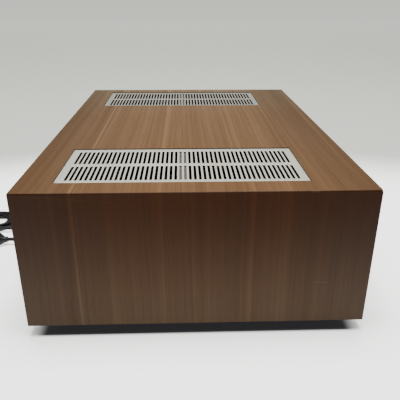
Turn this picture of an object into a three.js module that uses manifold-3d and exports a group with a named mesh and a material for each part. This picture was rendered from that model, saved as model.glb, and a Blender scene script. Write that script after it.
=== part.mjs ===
// An integrated stereo amplifier in a veneered wooden sleeve: a steel chassis with an aluminium face plate,
// rotary and lever controls in front, sockets and spring terminals behind, a heat sink under each of the two
// slotted grilles in the top, and a mains lead folded into a tied hank behind it.

import * as THREE from 'three';
import { mergeVertices } from 'three/addons/utils/BufferGeometryUtils.js';
import Module from 'manifold-3d';

// ---------------------------------------------------------------- driving dimensions, in millimetres
// +X is the right-hand side seen from the front, +Y the back and +Z up. Pieces are placed with the middle of
// the wooden sleeve at Y = 0, and the finished group is moved so that its origin is the middle of its base.
// Separate pieces stand a gap apart, and shapes joined into one piece run into each other by a bite.

const gap = 0.3;
const bite = 0.5;
const cabinet = { width: 500, depth: 346, height: 146, board: 15, lift: 12 };
const frontReach = 20;
const rearReach = 10;

const sheet = 1.2;
const floorPlate = { bottom: 13.5, sideGap: 1, endGap: 5 };
const floorVent = { length: 44, width: 3.5, pitch: 20, eachWay: 5 };
const rail = { top: 110, flange: 14 };
const foot = {
  topRadius: 13, baseRadius: 11, x: 205, frontY: -135, backY: 135, screwRadius: 4, screwDepth: 4,
};

const grille = {
  width: 108, length: 250, thickness: 1.2, recess: 1.1, ledge: 8, x: 169.5, y: 13,
  slots: 48, pitch: 4.9, slotWidth: 2.6, slotLength: 41.5, rowGap: 7.5,
};
const stiffener = { width: 10, thickness: 3 };

const face = { recess: 3, thickness: 4 };
const controlDepth = 6;
const shaftRadius = 3;
const knobGap = 1;
const pointer = { width: 1.4, depth: 0.8 };

// Each rotary control: where its shaft is, and its knob's radius and depth.
const knobs = [
  { name: 'bass_knob', x: -150, z: 104, radius: 18, depth: 19 },
  { name: 'midrange_knob', x: -92, z: 104, radius: 18, depth: 19 },
  { name: 'treble_knob', x: -34, z: 104, radius: 18, depth: 19 },
  { name: 'volume_knob', x: 68, z: 96, radius: 28, depth: 22 },
  { name: 'input_selector_knob', x: 176, z: 96, radius: 22, depth: 20 },
  { name: 'speaker_selector_knob', x: -150, z: 47, radius: 13, depth: 17 },
  { name: 'balance_knob', x: 68, z: 42, radius: 12, depth: 17 },
];

// Each lever switch, and its tilt at rest: up, down, or level where it has a middle position.
const leverTilt = THREE.MathUtils.degToRad(13);
const levers = [
  { name: 'power_lever', x: -204, z: 100, tilt: leverTilt },
  { name: 'low_filter_lever', x: -98, z: 46, tilt: leverTilt },
  { name: 'high_filter_lever', x: -60, z: 46, tilt: leverTilt },
  { name: 'loudness_lever', x: -22, z: 46, tilt: -leverTilt },
  { name: 'tape_monitor_lever', x: 152, z: 46, tilt: 0 },
  { name: 'mode_lever', x: 200, z: 46, tilt: 0 },
];
const lever = {
  stem: 3.6, paddle: 7, thickness: 3, tail: 1.5, neck: 9, shoulder: 4, reach: 22,
  slotWidth: 4.8, slotHeight: 9,
};

const headphone = {
  x: -204, z: 46, boreRadius: 3.3, boreDepth: 18, barrelRadius: 5.2, nutRadius: 7.5, nut: 2.4, inside: 16,
};
const lamp = { x: -204, z: 127, radius: 3 };
const bracket = {
  depth: 18, halfWidth: 222, bottom: 24, top: 126, wideCan: 13, narrowCan: 10,
  switchHalfWidth: 5, switchHalfHeight: 11,
};

const rear = { recess: 6 };
const jack = { radius: 4.2, bore: 1.7, length: 9, columnPitch: 20, rowPitch: 19, board: 2.5 };
const inputJacks = { x: -118, z: 104, columns: 6, rows: 2 };
const tapeJacks = { x: -128, z: 50, columns: 5, rows: 2 };
const speakerBlock = { x: 14, z: 78, width: 104, height: 62, depth: 10, columnPitch: 24, rowPitch: 29 };
const terminal = {
  width: 8, thickness: 5, tail: 2, reach: 10.7, pivotIn: 5, pivotUp: 4.5,
  pocketWidth: 9, pocketLow: -1, pocketHigh: 9, pocketDepth: 8, wireHole: 1.6, wireDrop: 6,
};
const outlets = { x: 160, z: 100, count: 3, pitch: 36, width: 112, height: 34, depth: 5 };
const outletSlot = { width: 2, height: 8, spread: 12.7, depth: 4 };
const fuse = {
  x: 120, z: 48, radius: 7, depth: 13, stem: 5, inside: 12, slotLength: 10, slotWidth: 1.6, slotDepth: 1.2,
};
const ground = { x: -208, z: 104, radius: 5, depth: 9, stem: 2, inside: 5 };
const relief = {
  x: 190, z: 40, flange: 8, flangeDepth: 2, rootRadius: 6, tipRadius: 3.5, length: 26, neck: 5, inside: 8,
};

const heatSink = {
  baseX: 148, base: 6, finLength: 46, fin: 2, finPitch: 10, fins: 23, bottom: 15, top: 125,
};
const transformer = {
  x: -56, y: 45, width: 100, depth: 78, height: 84, coil: 9, footReach: 8, footDepth: 2,
};
const capacitor = { x: 52, radius: 25, height: 92, frontY: 8, backY: 70 };
const board = 1.6;

// Each power amplifier board, with its output transistors on one face and relays and coils on the other.
const driver = { frontY: -80, backY: 100, bottom: 24, top: 118, standOff: 6 };
const transistors = { frontYs: [-60, -20, 20, 60], bottom: 60, length: 18, height: 24 };
const relays = { frontYs: [-55, 5, 70], bottom: 34, length: 14, height: 14, depth: 14 };

// The preamplifier board, its posts, and the row of screening cans on it.
const preamp = { leftX: -120, rightX: 100, frontY: 98, backY: 156, level: 32 };
const post = { halfWidth: 3, insetX: 10, insetY: 6 };
const can = { leftXs: [-90, -60, -30, 0, 30, 60], frontY: 120, width: 9, height: 16 };

// The mains lead. Its free stretches are lists of points, and the rest is wound into a flat hank: two
// straight runs along Y joined by half rings, with a shoulder on either side where the lead goes in and out.
const cord = { radius: 2.5, sides: 8, step: 11 };
const hank = { x: 14, nearY: 294, run: 75, ringRadius: 27.5, outerRadius: 30.2, height: 9.5 };
const plug = { x: -52, nearY: 258, length: 30, width: 24, thickness: 16, neck: 10, taper: 10 };
const blade = { length: 17, width: 6.3, thickness: 1.6, spread: 12.7 };

// ---------------------------------------------------------------- places that follow from them

const halfX = cabinet.width / 2;
const halfY = cabinet.depth / 2;
const cabinetTop = cabinet.lift + cabinet.height;
const innerX = halfX - cabinet.board;
const ceiling = cabinetTop - cabinet.board;
const floorTop = floorPlate.bottom + sheet;
const panelLow = floorTop + gap;
const panelHigh = ceiling - 1;
const panelHalfX = innerX - floorPlate.sideGap;
const faceFront = -halfY + face.recess;
const faceBack = faceFront + face.thickness;
const chassisFront = faceBack + gap;
const controlFront = faceBack + controlDepth;
const rearFace = halfY - rear.recess;
const rearMount = rearFace + gap;
const leverPivotY = controlFront - lever.tail - 0.5;
const exitY = rearMount + relief.length;
const shoulderY = hank.nearY - Math.sqrt(hank.outerRadius ** 2 - (hank.ringRadius - cord.radius) ** 2);

// ---------------------------------------------------------------- materials

const finish = (color, roughness, metalness) => (
  new THREE.MeshStandardMaterial({ color, roughness, metalness })
);
const walnut = finish(0x5a3e2b, 0.45, 0);
const satinAluminium = finish(0xd8d6cc, 0.35, 0.9);
const blackSteel = finish(0x1b1b1c, 0.6, 0.3);
const zincSteel = finish(0x9a9c9e, 0.45, 0.8);
const blackPlastic = finish(0x141414, 0.5, 0);
const redPlastic = finish(0x8f1b16, 0.45, 0);
const rubber = finish(0x171717, 0.85, 0);
const blackAnodised = finish(0x1d1e20, 0.45, 0.6);
const fibreBoard = finish(0x8a6a34, 0.6, 0);
const amberLens = finish(0xc96a1c, 0.2, 0);
const bareNickel = finish(0xb9b7b0, 0.3, 1);

// ---------------------------------------------------------------- making shapes

const wasm = await Module();
wasm.setup();

const xAxis = new THREE.Vector3(1, 0, 0);
const yAxis = new THREE.Vector3(0, 1, 0);
const zAxis = new THREE.Vector3(0, 0, 1);

// A closed geometry as a solid that can be joined and cut.
function solidOf(geometry) {
  const bare = geometry.clone();
  for (const name of Object.keys(bare.attributes)) {
    if (name !== 'position') bare.deleteAttribute(name);
  }
  const merged = mergeVertices(bare, 1e-4);
  const triVerts = new Uint32Array(merged.index.array);
  const vertProperties = merged.attributes.position.array;
  return new wasm.Manifold(new wasm.Mesh({ numProp: 3, vertProperties, triVerts }));
}

// A solid's surface as a geometry.
function geometryOf(solid) {
  const { vertProperties, triVerts } = solid.getMesh();
  const geometry = new THREE.BufferGeometry();
  geometry.setAttribute('position', new THREE.BufferAttribute(new Float32Array(vertProperties), 3));
  geometry.setIndex(new THREE.BufferAttribute(new Uint32Array(triVerts), 1));
  return geometry;
}

const join = (...geometries) => (
  geometryOf(geometries.map(solidOf).reduce((whole, piece) => whole.add(piece)))
);
const cut = (base, ...tools) => (
  geometryOf(tools.map(solidOf).reduce((left, tool) => left.subtract(tool), solidOf(base)))
);

// A box from its lowest to its highest corner.
function block([x0, y0, z0], [x1, y1, z1]) {
  const geometry = new THREE.BoxGeometry(x1 - x0, y1 - y0, z1 - z0);
  return geometry.translate((x0 + x1) / 2, (y0 + y1) / 2, (z0 + z1) / 2);
}

const outlineOf = (points) => new THREE.Shape(points.map(([u, v]) => new THREE.Vector2(u, v)));

// A shape extruded from one coordinate to another: up Z from the XY plane, back along Y from the XZ plane, or
// right along X from the YZ plane.
function extrude(shape, along, from, to) {
  const length = to - from;
  const options = { depth: length, bevelEnabled: false, curveSegments: 8 };
  const geometry = new THREE.ExtrudeGeometry(shape, options);
  if (along === 'z') return geometry.translate(0, 0, from);
  const turn = new THREE.Matrix4();
  if (along === 'x') {
    turn.makeBasis(yAxis, zAxis, xAxis);
    return geometry.applyMatrix4(turn).translate(from, 0, 0);
  }
  turn.makeBasis(xAxis, zAxis, yAxis.clone().negate());
  return geometry.applyMatrix4(turn).translate(0, to, 0);
}

// A body of revolution about the Y axis at (x, z), from [radius, y] pairs that run from front to back.
function turnedAlongY(profile, x, z, sides = 20) {
  const points = profile.map(([radius, y]) => new THREE.Vector2(radius, y));
  return new THREE.LatheGeometry(points, sides).translate(x, 0, z);
}

// The same about the Z axis at (x, y), from [radius, z] pairs that run upwards.
function turnedAlongZ(profile, x, y, sides = 20) {
  const points = profile.map(([radius, z]) => new THREE.Vector2(radius, z));
  return new THREE.LatheGeometry(points, sides).rotateX(Math.PI / 2).translate(x, y, 0);
}

function rodAlongY(radius, x, z, y0, y1, sides = 12) {
  return turnedAlongY([[0, y0], [radius, y0], [radius, y1], [0, y1]], x, z, sides);
}

const part = new THREE.Group();
part.position.y = (frontReach - rearReach) / 2;

function add(name, geometry, material, place = [0, 0, 0], tilt = 0) {
  const mesh = new THREE.Mesh(geometry, material);
  mesh.name = name;
  mesh.position.set(...place);
  mesh.rotation.x = tilt;
  part.add(mesh);
}

// ---------------------------------------------------------------- wooden sleeve and its grilles

// Three boards meet in mitres along the two top edges. The top board is rebated for the grilles.
function buildCabinet() {
  const seam = gap / 2;
  const topOutline = outlineOf([
    [-innerX + seam, ceiling], [innerX - seam, ceiling],
    [halfX - seam, cabinetTop], [-halfX + seam, cabinetTop],
  ]);
  const rebateFloor = cabinetTop - grille.recess - grille.thickness;
  const openings = [-grille.x, grille.x].flatMap((x) => [
    block(
      [x - grille.width / 2, grille.y - grille.length / 2, rebateFloor],
      [x + grille.width / 2, grille.y + grille.length / 2, cabinetTop + 1],
    ),
    block(
      [x - grille.width / 2 + grille.ledge, grille.y - grille.length / 2 + grille.ledge, ceiling - 1],
      [x + grille.width / 2 - grille.ledge, grille.y + grille.length / 2 - grille.ledge, cabinetTop],
    ),
  ]);
  add('cabinet_top', cut(extrude(topOutline, 'y', -halfY, halfY), ...openings), walnut);
  for (const [name, side] of [['cabinet_side_left', -1], ['cabinet_side_right', 1]]) {
    const corners = [
      [side * halfX, cabinet.lift], [side * halfX, cabinetTop - seam],
      [side * innerX, ceiling - seam], [side * innerX, cabinet.lift],
    ];
    add(name, extrude(outlineOf(corners), 'y', -halfY, halfY), walnut);
  }
}

// A flat plate with two rows of slots, and a bar across its middle that closes the two slots above it.
function buildGrilles() {
  const top = cabinetTop - grille.recess;
  const bottom = top - grille.thickness + gap / 2;
  const rowOffset = (grille.slotLength + grille.rowGap) / 2;
  for (const [side, x] of [['left', -grille.x], ['right', grille.x]]) {
    const halfWidth = grille.width / 2 - gap;
    const halfLength = grille.length / 2 - gap;
    const plate = block(
      [x - halfWidth, grille.y - halfLength, bottom],
      [x + halfWidth, grille.y + halfLength, top],
    );
    const slots = [];
    for (let i = 0; i < grille.slots; i += 1) {
      const y = grille.y + (i - (grille.slots - 1) / 2) * grille.pitch;
      for (const row of [-1, 1]) {
        const middle = x + row * rowOffset;
        slots.push(block(
          [middle - grille.slotLength / 2, y - grille.slotWidth / 2, bottom - 1],
          [middle + grille.slotLength / 2, y + grille.slotWidth / 2, top + 1],
        ));
      }
    }
    add(`vent_grille_${side}`, cut(plate, ...slots), satinAluminium);
    const reach = grille.width / 2 - grille.ledge - gap;
    const bar = block(
      [x - reach, grille.y - stiffener.width / 2, bottom - gap - stiffener.thickness],
      [x + reach, grille.y + stiffener.width / 2, bottom - gap],
    );
    add(`grille_stiffener_${side}`, bar, satinAluminium);
  }
}

// ---------------------------------------------------------------- chassis

// A plate as wide as the chassis and as high as its panels, between two Y coordinates.
const upright = (y0, y1) => block([-panelHalfX, y0, panelLow], [panelHalfX, y1, panelHigh]);

// Vent slots in the floor under each heat sink.
function floorVents() {
  const vents = [];
  for (const x of [-grille.x, grille.x]) {
    for (let i = -floorVent.eachWay; i <= floorVent.eachWay; i += 1) {
      const y = grille.y + i * floorVent.pitch;
      vents.push(block(
        [x - floorVent.length / 2, y - floorVent.width / 2, floorPlate.bottom - 1],
        [x + floorVent.length / 2, y + floorVent.width / 2, floorTop + 1],
      ));
    }
  }
  return vents;
}

function buildChassis() {
  const floorEnd = halfY - floorPlate.endGap;
  const floor = block([-panelHalfX, -floorEnd, floorPlate.bottom], [panelHalfX, floorEnd, floorTop]);
  add('bottom_cover', cut(floor, ...floorVents()), blackSteel);

  const frontHoles = controlHoles(shaftRadius + 0.8, chassisFront, chassisFront + sheet);
  add('front_chassis_panel', cut(upright(chassisFront, chassisFront + sheet), ...frontHoles), zincSteel);

  const fittings = [[fuse, fuse.stem], [ground, ground.stem], [relief, relief.neck]];
  const rearHoles = fittings.map(([{ x, z }, radius]) => (
    rodAlongY(radius + 0.6, x, z, rearFace - sheet - 1, rearFace + 1)
  ));
  add('rear_panel', cut(upright(rearFace - sheet, rearFace), ...rearHoles), blackSteel);

  for (const [name, side] of [['chassis_rail_left', -1], ['chassis_rail_right', 1]]) {
    const outer = side * (panelHalfX - gap);
    const inner = outer - side * sheet;
    const flange = outer - side * rail.flange;
    const outline = outlineOf([
      [outer, panelLow], [outer, rail.top], [inner, rail.top], [inner, panelLow + sheet],
      [flange, panelLow + sheet], [flange, panelLow],
    ]);
    add(name, extrude(outline, 'y', chassisFront + sheet + gap, rearFace - sheet - gap), zincSteel);
  }
}

function buildFeet() {
  const profile = [
    [0, foot.screwDepth], [foot.screwRadius, foot.screwDepth], [foot.screwRadius, 0], [foot.baseRadius, 0],
    [foot.topRadius, floorPlate.bottom - gap], [0, floorPlate.bottom - gap],
  ];
  for (const [name, x, y] of [
    ['foot_front_left', -foot.x, foot.frontY], ['foot_front_right', foot.x, foot.frontY],
    ['foot_back_left', -foot.x, foot.backY], ['foot_back_right', foot.x, foot.backY],
  ]) add(name, turnedAlongZ(profile, x, y, 24), rubber);
}

// ---------------------------------------------------------------- front panel and its controls

// What the shafts, levers, headphone socket and lamp pass through, as cutters for a plate from y0 to y1.
function controlHoles(shaftHole, y0, y1) {
  const drill = (radius, { x, z }) => rodAlongY(radius, x, z, y0 - 1, y1 + 1);
  return [
    ...knobs.map((knob) => drill(shaftHole, knob)),
    ...levers.map(({ x, z }) => block(
      [x - lever.slotWidth / 2, y0 - 1, z - lever.slotHeight / 2],
      [x + lever.slotWidth / 2, y1 + 1, z + lever.slotHeight / 2],
    )),
    drill(headphone.barrelRadius + 0.5, headphone),
    drill(lamp.radius + 0.5, lamp),
  ];
}

function buildFacePlate() {
  const holes = controlHoles(shaftRadius + 1.2, faceFront, faceBack);
  add('face_plate', cut(upright(faceFront, faceBack), ...holes), satinAluminium);
}

// A knob and its shaft are one turned piece, with a groove from the rim to the middle as a pointer.
function buildKnobs() {
  for (const { name, x, z, radius, depth } of knobs) {
    const back = faceFront - knobGap;
    const front = back - depth;
    const body = turnedAlongY([
      [0, front], [radius - 2.2, front], [radius - 1, front + 1.2], [radius, back],
      [shaftRadius, back], [shaftRadius, controlFront - gap], [0, controlFront - gap],
    ], x, z, radius > 20 ? 32 : 24);
    const groove = block(
      [x - pointer.width / 2, front - 1, z + radius * 0.35],
      [x + pointer.width / 2, front + pointer.depth, z + radius + 1],
    );
    add(name, cut(body, groove), satinAluminium);
  }
}

// A flat paddle on a narrow stem, made level about its pivot and then tilted to its rest position.
function buildLevers() {
  const outline = new THREE.Shape();
  outline.moveTo(-lever.stem / 2, lever.tail);
  outline.lineTo(-lever.stem / 2, -lever.neck);
  outline.lineTo(-lever.paddle / 2, -lever.neck - lever.shoulder);
  outline.lineTo(-lever.paddle / 2, -lever.reach + lever.paddle / 2);
  outline.absarc(0, -lever.reach + lever.paddle / 2, lever.paddle / 2, Math.PI, 2 * Math.PI);
  outline.lineTo(lever.paddle / 2, -lever.neck - lever.shoulder);
  outline.lineTo(lever.stem / 2, -lever.neck);
  outline.lineTo(lever.stem / 2, lever.tail);
  outline.closePath();
  for (const { name, x, z, tilt } of levers) {
    const blade = extrude(outline, 'z', -lever.thickness / 2, lever.thickness / 2);
    add(name, blade, satinAluminium, [x, leverPivotY, z], tilt);
  }
}

function buildHeadphoneJack() {
  const { x, z, boreRadius, boreDepth, barrelRadius, nutRadius, nut, inside } = headphone;
  const front = faceFront - gap - nut;
  const socket = turnedAlongY([
    [0, front + boreDepth], [boreRadius, front + boreDepth], [boreRadius, front], [nutRadius, front],
    [nutRadius, front + nut], [barrelRadius, front + nut],
    [barrelRadius, controlFront + inside], [0, controlFront + inside],
  ], x, z, 24);
  add('headphone_jack', socket, bareNickel);
}

function buildPilotLamp() {
  const { x, z, radius } = lamp;
  const lens = turnedAlongY([
    [0, faceFront - 2.5], [radius * 0.7, faceFront - 1.8], [radius, faceFront],
    [radius, controlFront], [0, controlFront],
  ], x, z, 16);
  add('pilot_lamp', lens, amberLens);
}

// The potentiometers, rotary switches and lever switches stand on one steel bracket behind the front panel.
function buildControlBracket() {
  const { depth, halfWidth, bottom, top, wideCan, narrowCan, switchHalfWidth, switchHalfHeight } = bracket;
  const front = controlFront + depth;
  const cans = knobs.map(({ x, z, radius }) => (
    rodAlongY(radius > 15 ? wideCan : narrowCan, x, z, controlFront, front + bite)
  ));
  const switches = levers.map(({ x, z }) => block(
    [x - switchHalfWidth, controlFront, z - switchHalfHeight],
    [x + switchHalfWidth, front + bite, z + switchHalfHeight],
  ));
  const plate = block([-halfWidth, front, bottom], [halfWidth, front + sheet, top]);
  const jackRadius = headphone.barrelRadius + 1;
  const jackHole = rodAlongY(jackRadius, headphone.x, headphone.z, controlFront, front + sheet + 1);
  add('control_bracket', cut(join(plate, ...cans, ...switches), jackHole), zincSteel);
}

// ---------------------------------------------------------------- rear panel fittings

// A board of phono sockets: open barrels that the plugs push over, with a bore for the pin.
function jackBoard({ x, z, columns, rows }) {
  const width = columns * jack.columnPitch + 8;
  const height = rows * jack.rowPitch + 4;
  const face = rearMount + jack.board;
  const tip = face + jack.length;
  const backing = block([x - width / 2, rearMount, z - height / 2], [x + width / 2, face, z + height / 2]);
  const barrels = [];
  const bores = [];
  for (let column = 0; column < columns; column += 1) {
    for (let row = 0; row < rows; row += 1) {
      const u = x + (column - (columns - 1) / 2) * jack.columnPitch;
      const v = z + (row - (rows - 1) / 2) * jack.rowPitch;
      barrels.push(rodAlongY(jack.radius, u, v, face - 0.5, tip));
      bores.push(rodAlongY(jack.bore, u, v, face + 1, tip + 1, 8));
    }
  }
  return cut(join(backing, ...barrels), ...bores);
}

const terminalGrid = [];
for (const [row, v] of [['upper', 1], ['lower', -1]]) {
  for (let column = 0; column < 4; column += 1) {
    terminalGrid.push({
      name: `${row}_terminal_lever_${column + 1}`,
      x: speakerBlock.x + (column - 1.5) * speakerBlock.columnPitch,
      z: speakerBlock.z + (v * speakerBlock.rowPitch) / 2,
      live: column % 2 === 0,
    });
  }
}

function buildSpeakerTerminals() {
  const { x, z, width, height, depth } = speakerBlock;
  const front = rearMount + depth;
  const body = block([x - width / 2, rearMount, z - height / 2], [x + width / 2, front, z + height / 2]);
  const pockets = terminalGrid.map((t) => block(
    [t.x - terminal.pocketWidth / 2, front - terminal.pocketDepth, t.z + terminal.pocketLow],
    [t.x + terminal.pocketWidth / 2, front + 1, t.z + terminal.pocketHigh],
  ));
  const wireHoles = terminalGrid.map((t) => (
    rodAlongY(terminal.wireHole, t.x, t.z - terminal.wireDrop, front - 6, front + 1, 8)
  ));
  add('speaker_terminal_block', cut(body, ...pockets, ...wireHoles), blackPlastic);

  const halfThick = terminal.thickness / 2;
  const outline = outlineOf([
    [-terminal.tail, -halfThick], [terminal.reach, -halfThick + 1.5], [terminal.reach, halfThick - 0.5],
    [terminal.reach - 3, halfThick], [-terminal.tail, halfThick],
  ]);
  for (const { name, x: u, z: v, live } of terminalGrid) {
    const key = extrude(outline, 'x', -terminal.width / 2, terminal.width / 2);
    add(name, key, live ? redPlastic : blackPlastic, [u, front - terminal.pivotIn, v + terminal.pivotUp]);
  }
}

function buildOutlets() {
  const { x, z, width, height, depth, count, pitch } = outlets;
  const front = rearMount + depth;
  const slots = [];
  for (let i = 0; i < count; i += 1) {
    for (const side of [-1, 1]) {
      const u = x + (i - (count - 1) / 2) * pitch + (side * outletSlot.spread) / 2;
      slots.push(block(
        [u - outletSlot.width / 2, front - outletSlot.depth, z - outletSlot.height / 2],
        [u + outletSlot.width / 2, front + 1, z + outletSlot.height / 2],
      ));
    }
  }
  const body = block([x - width / 2, rearMount, z - height / 2], [x + width / 2, front, z + height / 2]);
  add('outlet_block', cut(body, ...slots), blackPlastic);
}

function buildRearFittings() {
  add('input_jack_board', jackBoard(inputJacks), bareNickel);
  add('tape_jack_board', jackBoard(tapeJacks), bareNickel);

  const cap = turnedAlongY([
    [0, rearFace - fuse.inside], [fuse.stem, rearFace - fuse.inside],
    [fuse.stem, rearMount], [fuse.radius, rearMount],
    [fuse.radius, rearMount + fuse.depth - 1], [fuse.radius - 1, rearMount + fuse.depth],
    [0, rearMount + fuse.depth],
  ], fuse.x, fuse.z);
  const coinSlot = block(
    [fuse.x - fuse.slotLength / 2, rearMount + fuse.depth - fuse.slotDepth, fuse.z - fuse.slotWidth / 2],
    [fuse.x + fuse.slotLength / 2, rearMount + fuse.depth + 1, fuse.z + fuse.slotWidth / 2],
  );
  add('fuse_cap', cut(cap, coinSlot), blackPlastic);

  add('ground_terminal_nut', turnedAlongY([
    [0, rearFace - ground.inside], [ground.stem, rearFace - ground.inside], [ground.stem, rearMount + 1],
    [ground.radius, rearMount + 1],
    [ground.radius, rearMount + ground.depth], [0, rearMount + ground.depth],
  ], ground.x, ground.z, 16), bareNickel);

  add('cord_strain_relief', turnedAlongY([
    [0, rearFace - relief.inside], [relief.neck, rearFace - relief.inside], [relief.neck, rearMount],
    [relief.flange, rearMount], [relief.flange, rearMount + relief.flangeDepth],
    [relief.rootRadius, rearMount + relief.flangeDepth], [relief.tipRadius, rearMount + relief.length],
    [0, rearMount + relief.length],
  ], relief.x, relief.z, 16), blackPlastic);
}

// ---------------------------------------------------------------- inside

// An extruded comb with its base towards the middle and its fins towards the side of the sleeve.
function heatSinkOutline(side) {
  const { baseX, base, finLength, fin, finPitch, fins } = heatSink;
  const root = side * (baseX + base);
  const tip = side * (baseX + base + finLength);
  const first = grille.y - ((fins - 1) * finPitch) / 2;
  const last = first + (fins - 1) * finPitch;
  const points = [[side * baseX, first - fin / 2]];
  for (let y = first; y <= last; y += finPitch) {
    if (y > first) points.push([root, y - fin / 2]);
    points.push([tip, y - fin / 2], [tip, y + fin / 2]);
    if (y < last) points.push([root, y + fin / 2]);
  }
  points.push([side * baseX, last + fin / 2]);
  return outlineOf(points);
}

// Each power amplifier board stands on edge against its heat sink, with its output transistors between them.
function driverBoard(side) {
  const sinkFace = side * (heatSink.baseX - gap);
  const outerFace = sinkFace - side * driver.standOff;
  const innerFace = outerFace - side * board;
  const slab = (a, b, y, long, z, tall) => (
    block([Math.min(a, b), y, z], [Math.max(a, b), y + long, z + tall])
  );
  const length = driver.backY - driver.frontY;
  const height = driver.top - driver.bottom;
  const plate = slab(outerFace, innerFace, driver.frontY, length, driver.bottom, height);
  const output = transistors.frontYs.map((y) => slab(
    sinkFace, outerFace - side * bite, y, transistors.length, transistors.bottom, transistors.height,
  ));
  const others = relays.frontYs.map((y) => slab(
    innerFace + side * bite, innerFace - side * relays.depth, y, relays.length, relays.bottom, relays.height,
  ));
  return join(plate, ...output, ...others);
}

function buildPowerSection() {
  for (const [name, side] of [['left', -1], ['right', 1]]) {
    const comb = extrude(heatSinkOutline(side), 'z', heatSink.bottom, heatSink.top);
    add(`heat_sink_${name}`, comb, blackAnodised);
    add(`power_amplifier_board_${name}`, driverBoard(side), fibreBoard);
  }

  const { x, y, height, coil, footReach, footDepth } = transformer;
  const halfWidth = transformer.width / 2;
  const halfDepth = transformer.depth / 2;
  const low = floorTop + gap;
  const footPlate = block(
    [x - halfWidth - footReach, y - halfDepth, low],
    [x + halfWidth + footReach, y + halfDepth, low + footDepth],
  );
  const core = block(
    [x - halfWidth, y - halfDepth / 2, low + footDepth - bite],
    [x + halfWidth, y + halfDepth / 2, low + height],
  );
  const winding = block(
    [x - halfWidth + coil, y - halfDepth, low + coil],
    [x + halfWidth - coil, y + halfDepth, low + height - coil],
  );
  add('power_transformer', join(footPlate, core, winding), blackSteel);

  const { radius, height: tall } = capacitor;
  for (const [end, capY] of [['front', capacitor.frontY], ['back', capacitor.backY]]) {
    add(`filter_capacitor_${end}`, turnedAlongZ([
      [0, low], [radius, low], [radius, low + tall - 2], [radius - 2, low + tall], [0, low + tall],
    ], capacitor.x, capY), blackPlastic);
  }
}

// The preamplifier board lies flat on four posts, close to the input sockets.
function buildPreampBoard() {
  const { leftX, rightX, frontY, backY, level } = preamp;
  const posts = [leftX + post.insetX, rightX - post.insetX].flatMap((x) => (
    [frontY + post.insetY, backY - post.insetY].map((y) => block(
      [x - post.halfWidth, y - post.halfWidth, floorTop + gap],
      [x + post.halfWidth, y + post.halfWidth, level + bite],
    ))
  ));
  const cans = can.leftXs.map((x) => block(
    [x, can.frontY, level + board - bite],
    [x + can.width, can.frontY + can.width, level + board + can.height],
  ));
  const plate = block([leftX, frontY, level], [rightX, backY, level + board]);
  add('preamplifier_board', join(plate, ...posts, ...cans), fibreBoard);
}

// ---------------------------------------------------------------- mains lead

// From the strain relief down to the table and into the hank, and from the hank round to the plug.
const leadRoute = [
  [190, exitY + gap, 40], [190, 204, 39.6], [189.5, 216, 36], [187, 229, 26], [182, 238, 13.5], [174, 243, 5],
  [163, 244, 2.7], [150, 242, 2.6], [132, 236, 2.6], [112, 229, 2.6], [92, 226, 2.6], [74, 228, 2.6],
  [58, 234, 2.6], [47, 245, 2.6], [42.3, 259, 2.6], [41.5, 269, 2.6], [41.5, shoulderY - gap, 2.6],
];
const tailRoute = [
  [-13.5, shoulderY - gap, 6.8], [-13.5, 268, 6.3], [-14, 258, 4.6], [-16.5, 247, 3.1], [-22.5, 235.5, 2.6],
  [-33, 229.5, 2.6], [-44, 233, 3.6], [-50, 241, 6], [-52, 250, 8], [-52, plug.nearY - gap, 8],
];

function tubeAlong(points) {
  const section = new THREE.Shape().absarc(0, 0, cord.radius, 0, 2 * Math.PI);
  const route = new THREE.CatmullRomCurve3(points.map((p) => new THREE.Vector3(...p)));
  const steps = Math.ceil(route.getLength() / cord.step);
  return new THREE.ExtrudeGeometry(section, {
    steps, extrudePath: route, curveSegments: cord.sides / 2, bevelEnabled: false,
  });
}

function buildCord() {
  add('mains_cord', tubeAlong(leadRoute), blackPlastic);
  add('mains_cord_tail', tubeAlong(tailRoute), blackPlastic);

  const { x, nearY, run, outerRadius, ringRadius, height } = hank;
  const farY = nearY + run;
  const inner = ringRadius - cord.radius;
  const open = Math.atan2(nearY - shoulderY, inner);
  const outline = new THREE.Shape();
  outline.moveTo(x + outerRadius, shoulderY);
  outline.absarc(x, farY, outerRadius, 0, Math.PI);
  outline.lineTo(x - outerRadius, shoulderY);
  outline.absarc(x, nearY, outerRadius, Math.PI + open, 2 * Math.PI - open);
  add('cord_hank', extrude(outline, 'z', 0, height), blackPlastic);
}

// A moulded two-pin plug lying flat beside the hank, its lead towards the sleeve.
function buildPlug() {
  const { x, nearY, length, width, thickness, neck, taper } = plug;
  const farY = nearY + length;
  const body = extrude(outlineOf([
    [x - neck / 2, nearY], [x + neck / 2, nearY], [x + width / 2, nearY + taper], [x + width / 2, farY],
    [x - width / 2, farY], [x - width / 2, nearY + taper],
  ]), 'z', 0, thickness);
  const blades = [-1, 1].map((side) => {
    const middle = x + (side * blade.spread) / 2;
    const low = (thickness - blade.width) / 2;
    return block(
      [middle - blade.thickness / 2, farY - 1, low],
      [middle + blade.thickness / 2, farY + blade.length, low + blade.width],
    );
  });
  add('mains_plug', join(body, ...blades), blackPlastic);
}

buildCabinet();
buildGrilles();
buildChassis();
buildFeet();
buildFacePlate();
buildKnobs();
buildLevers();
buildHeadphoneJack();
buildPilotLamp();
buildControlBracket();
buildSpeakerTerminals();
buildOutlets();
buildRearFittings();
buildPowerSection();
buildPreampBoard();
buildCord();
buildPlug();

export default part;
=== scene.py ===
"""An integrated stereo amplifier in a walnut sleeve, built round its CAD frame.

Metres, +Z up, and -Y is the front.
"""
import math

import bmesh
import bpy
from mathutils import Matrix, Vector


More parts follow.
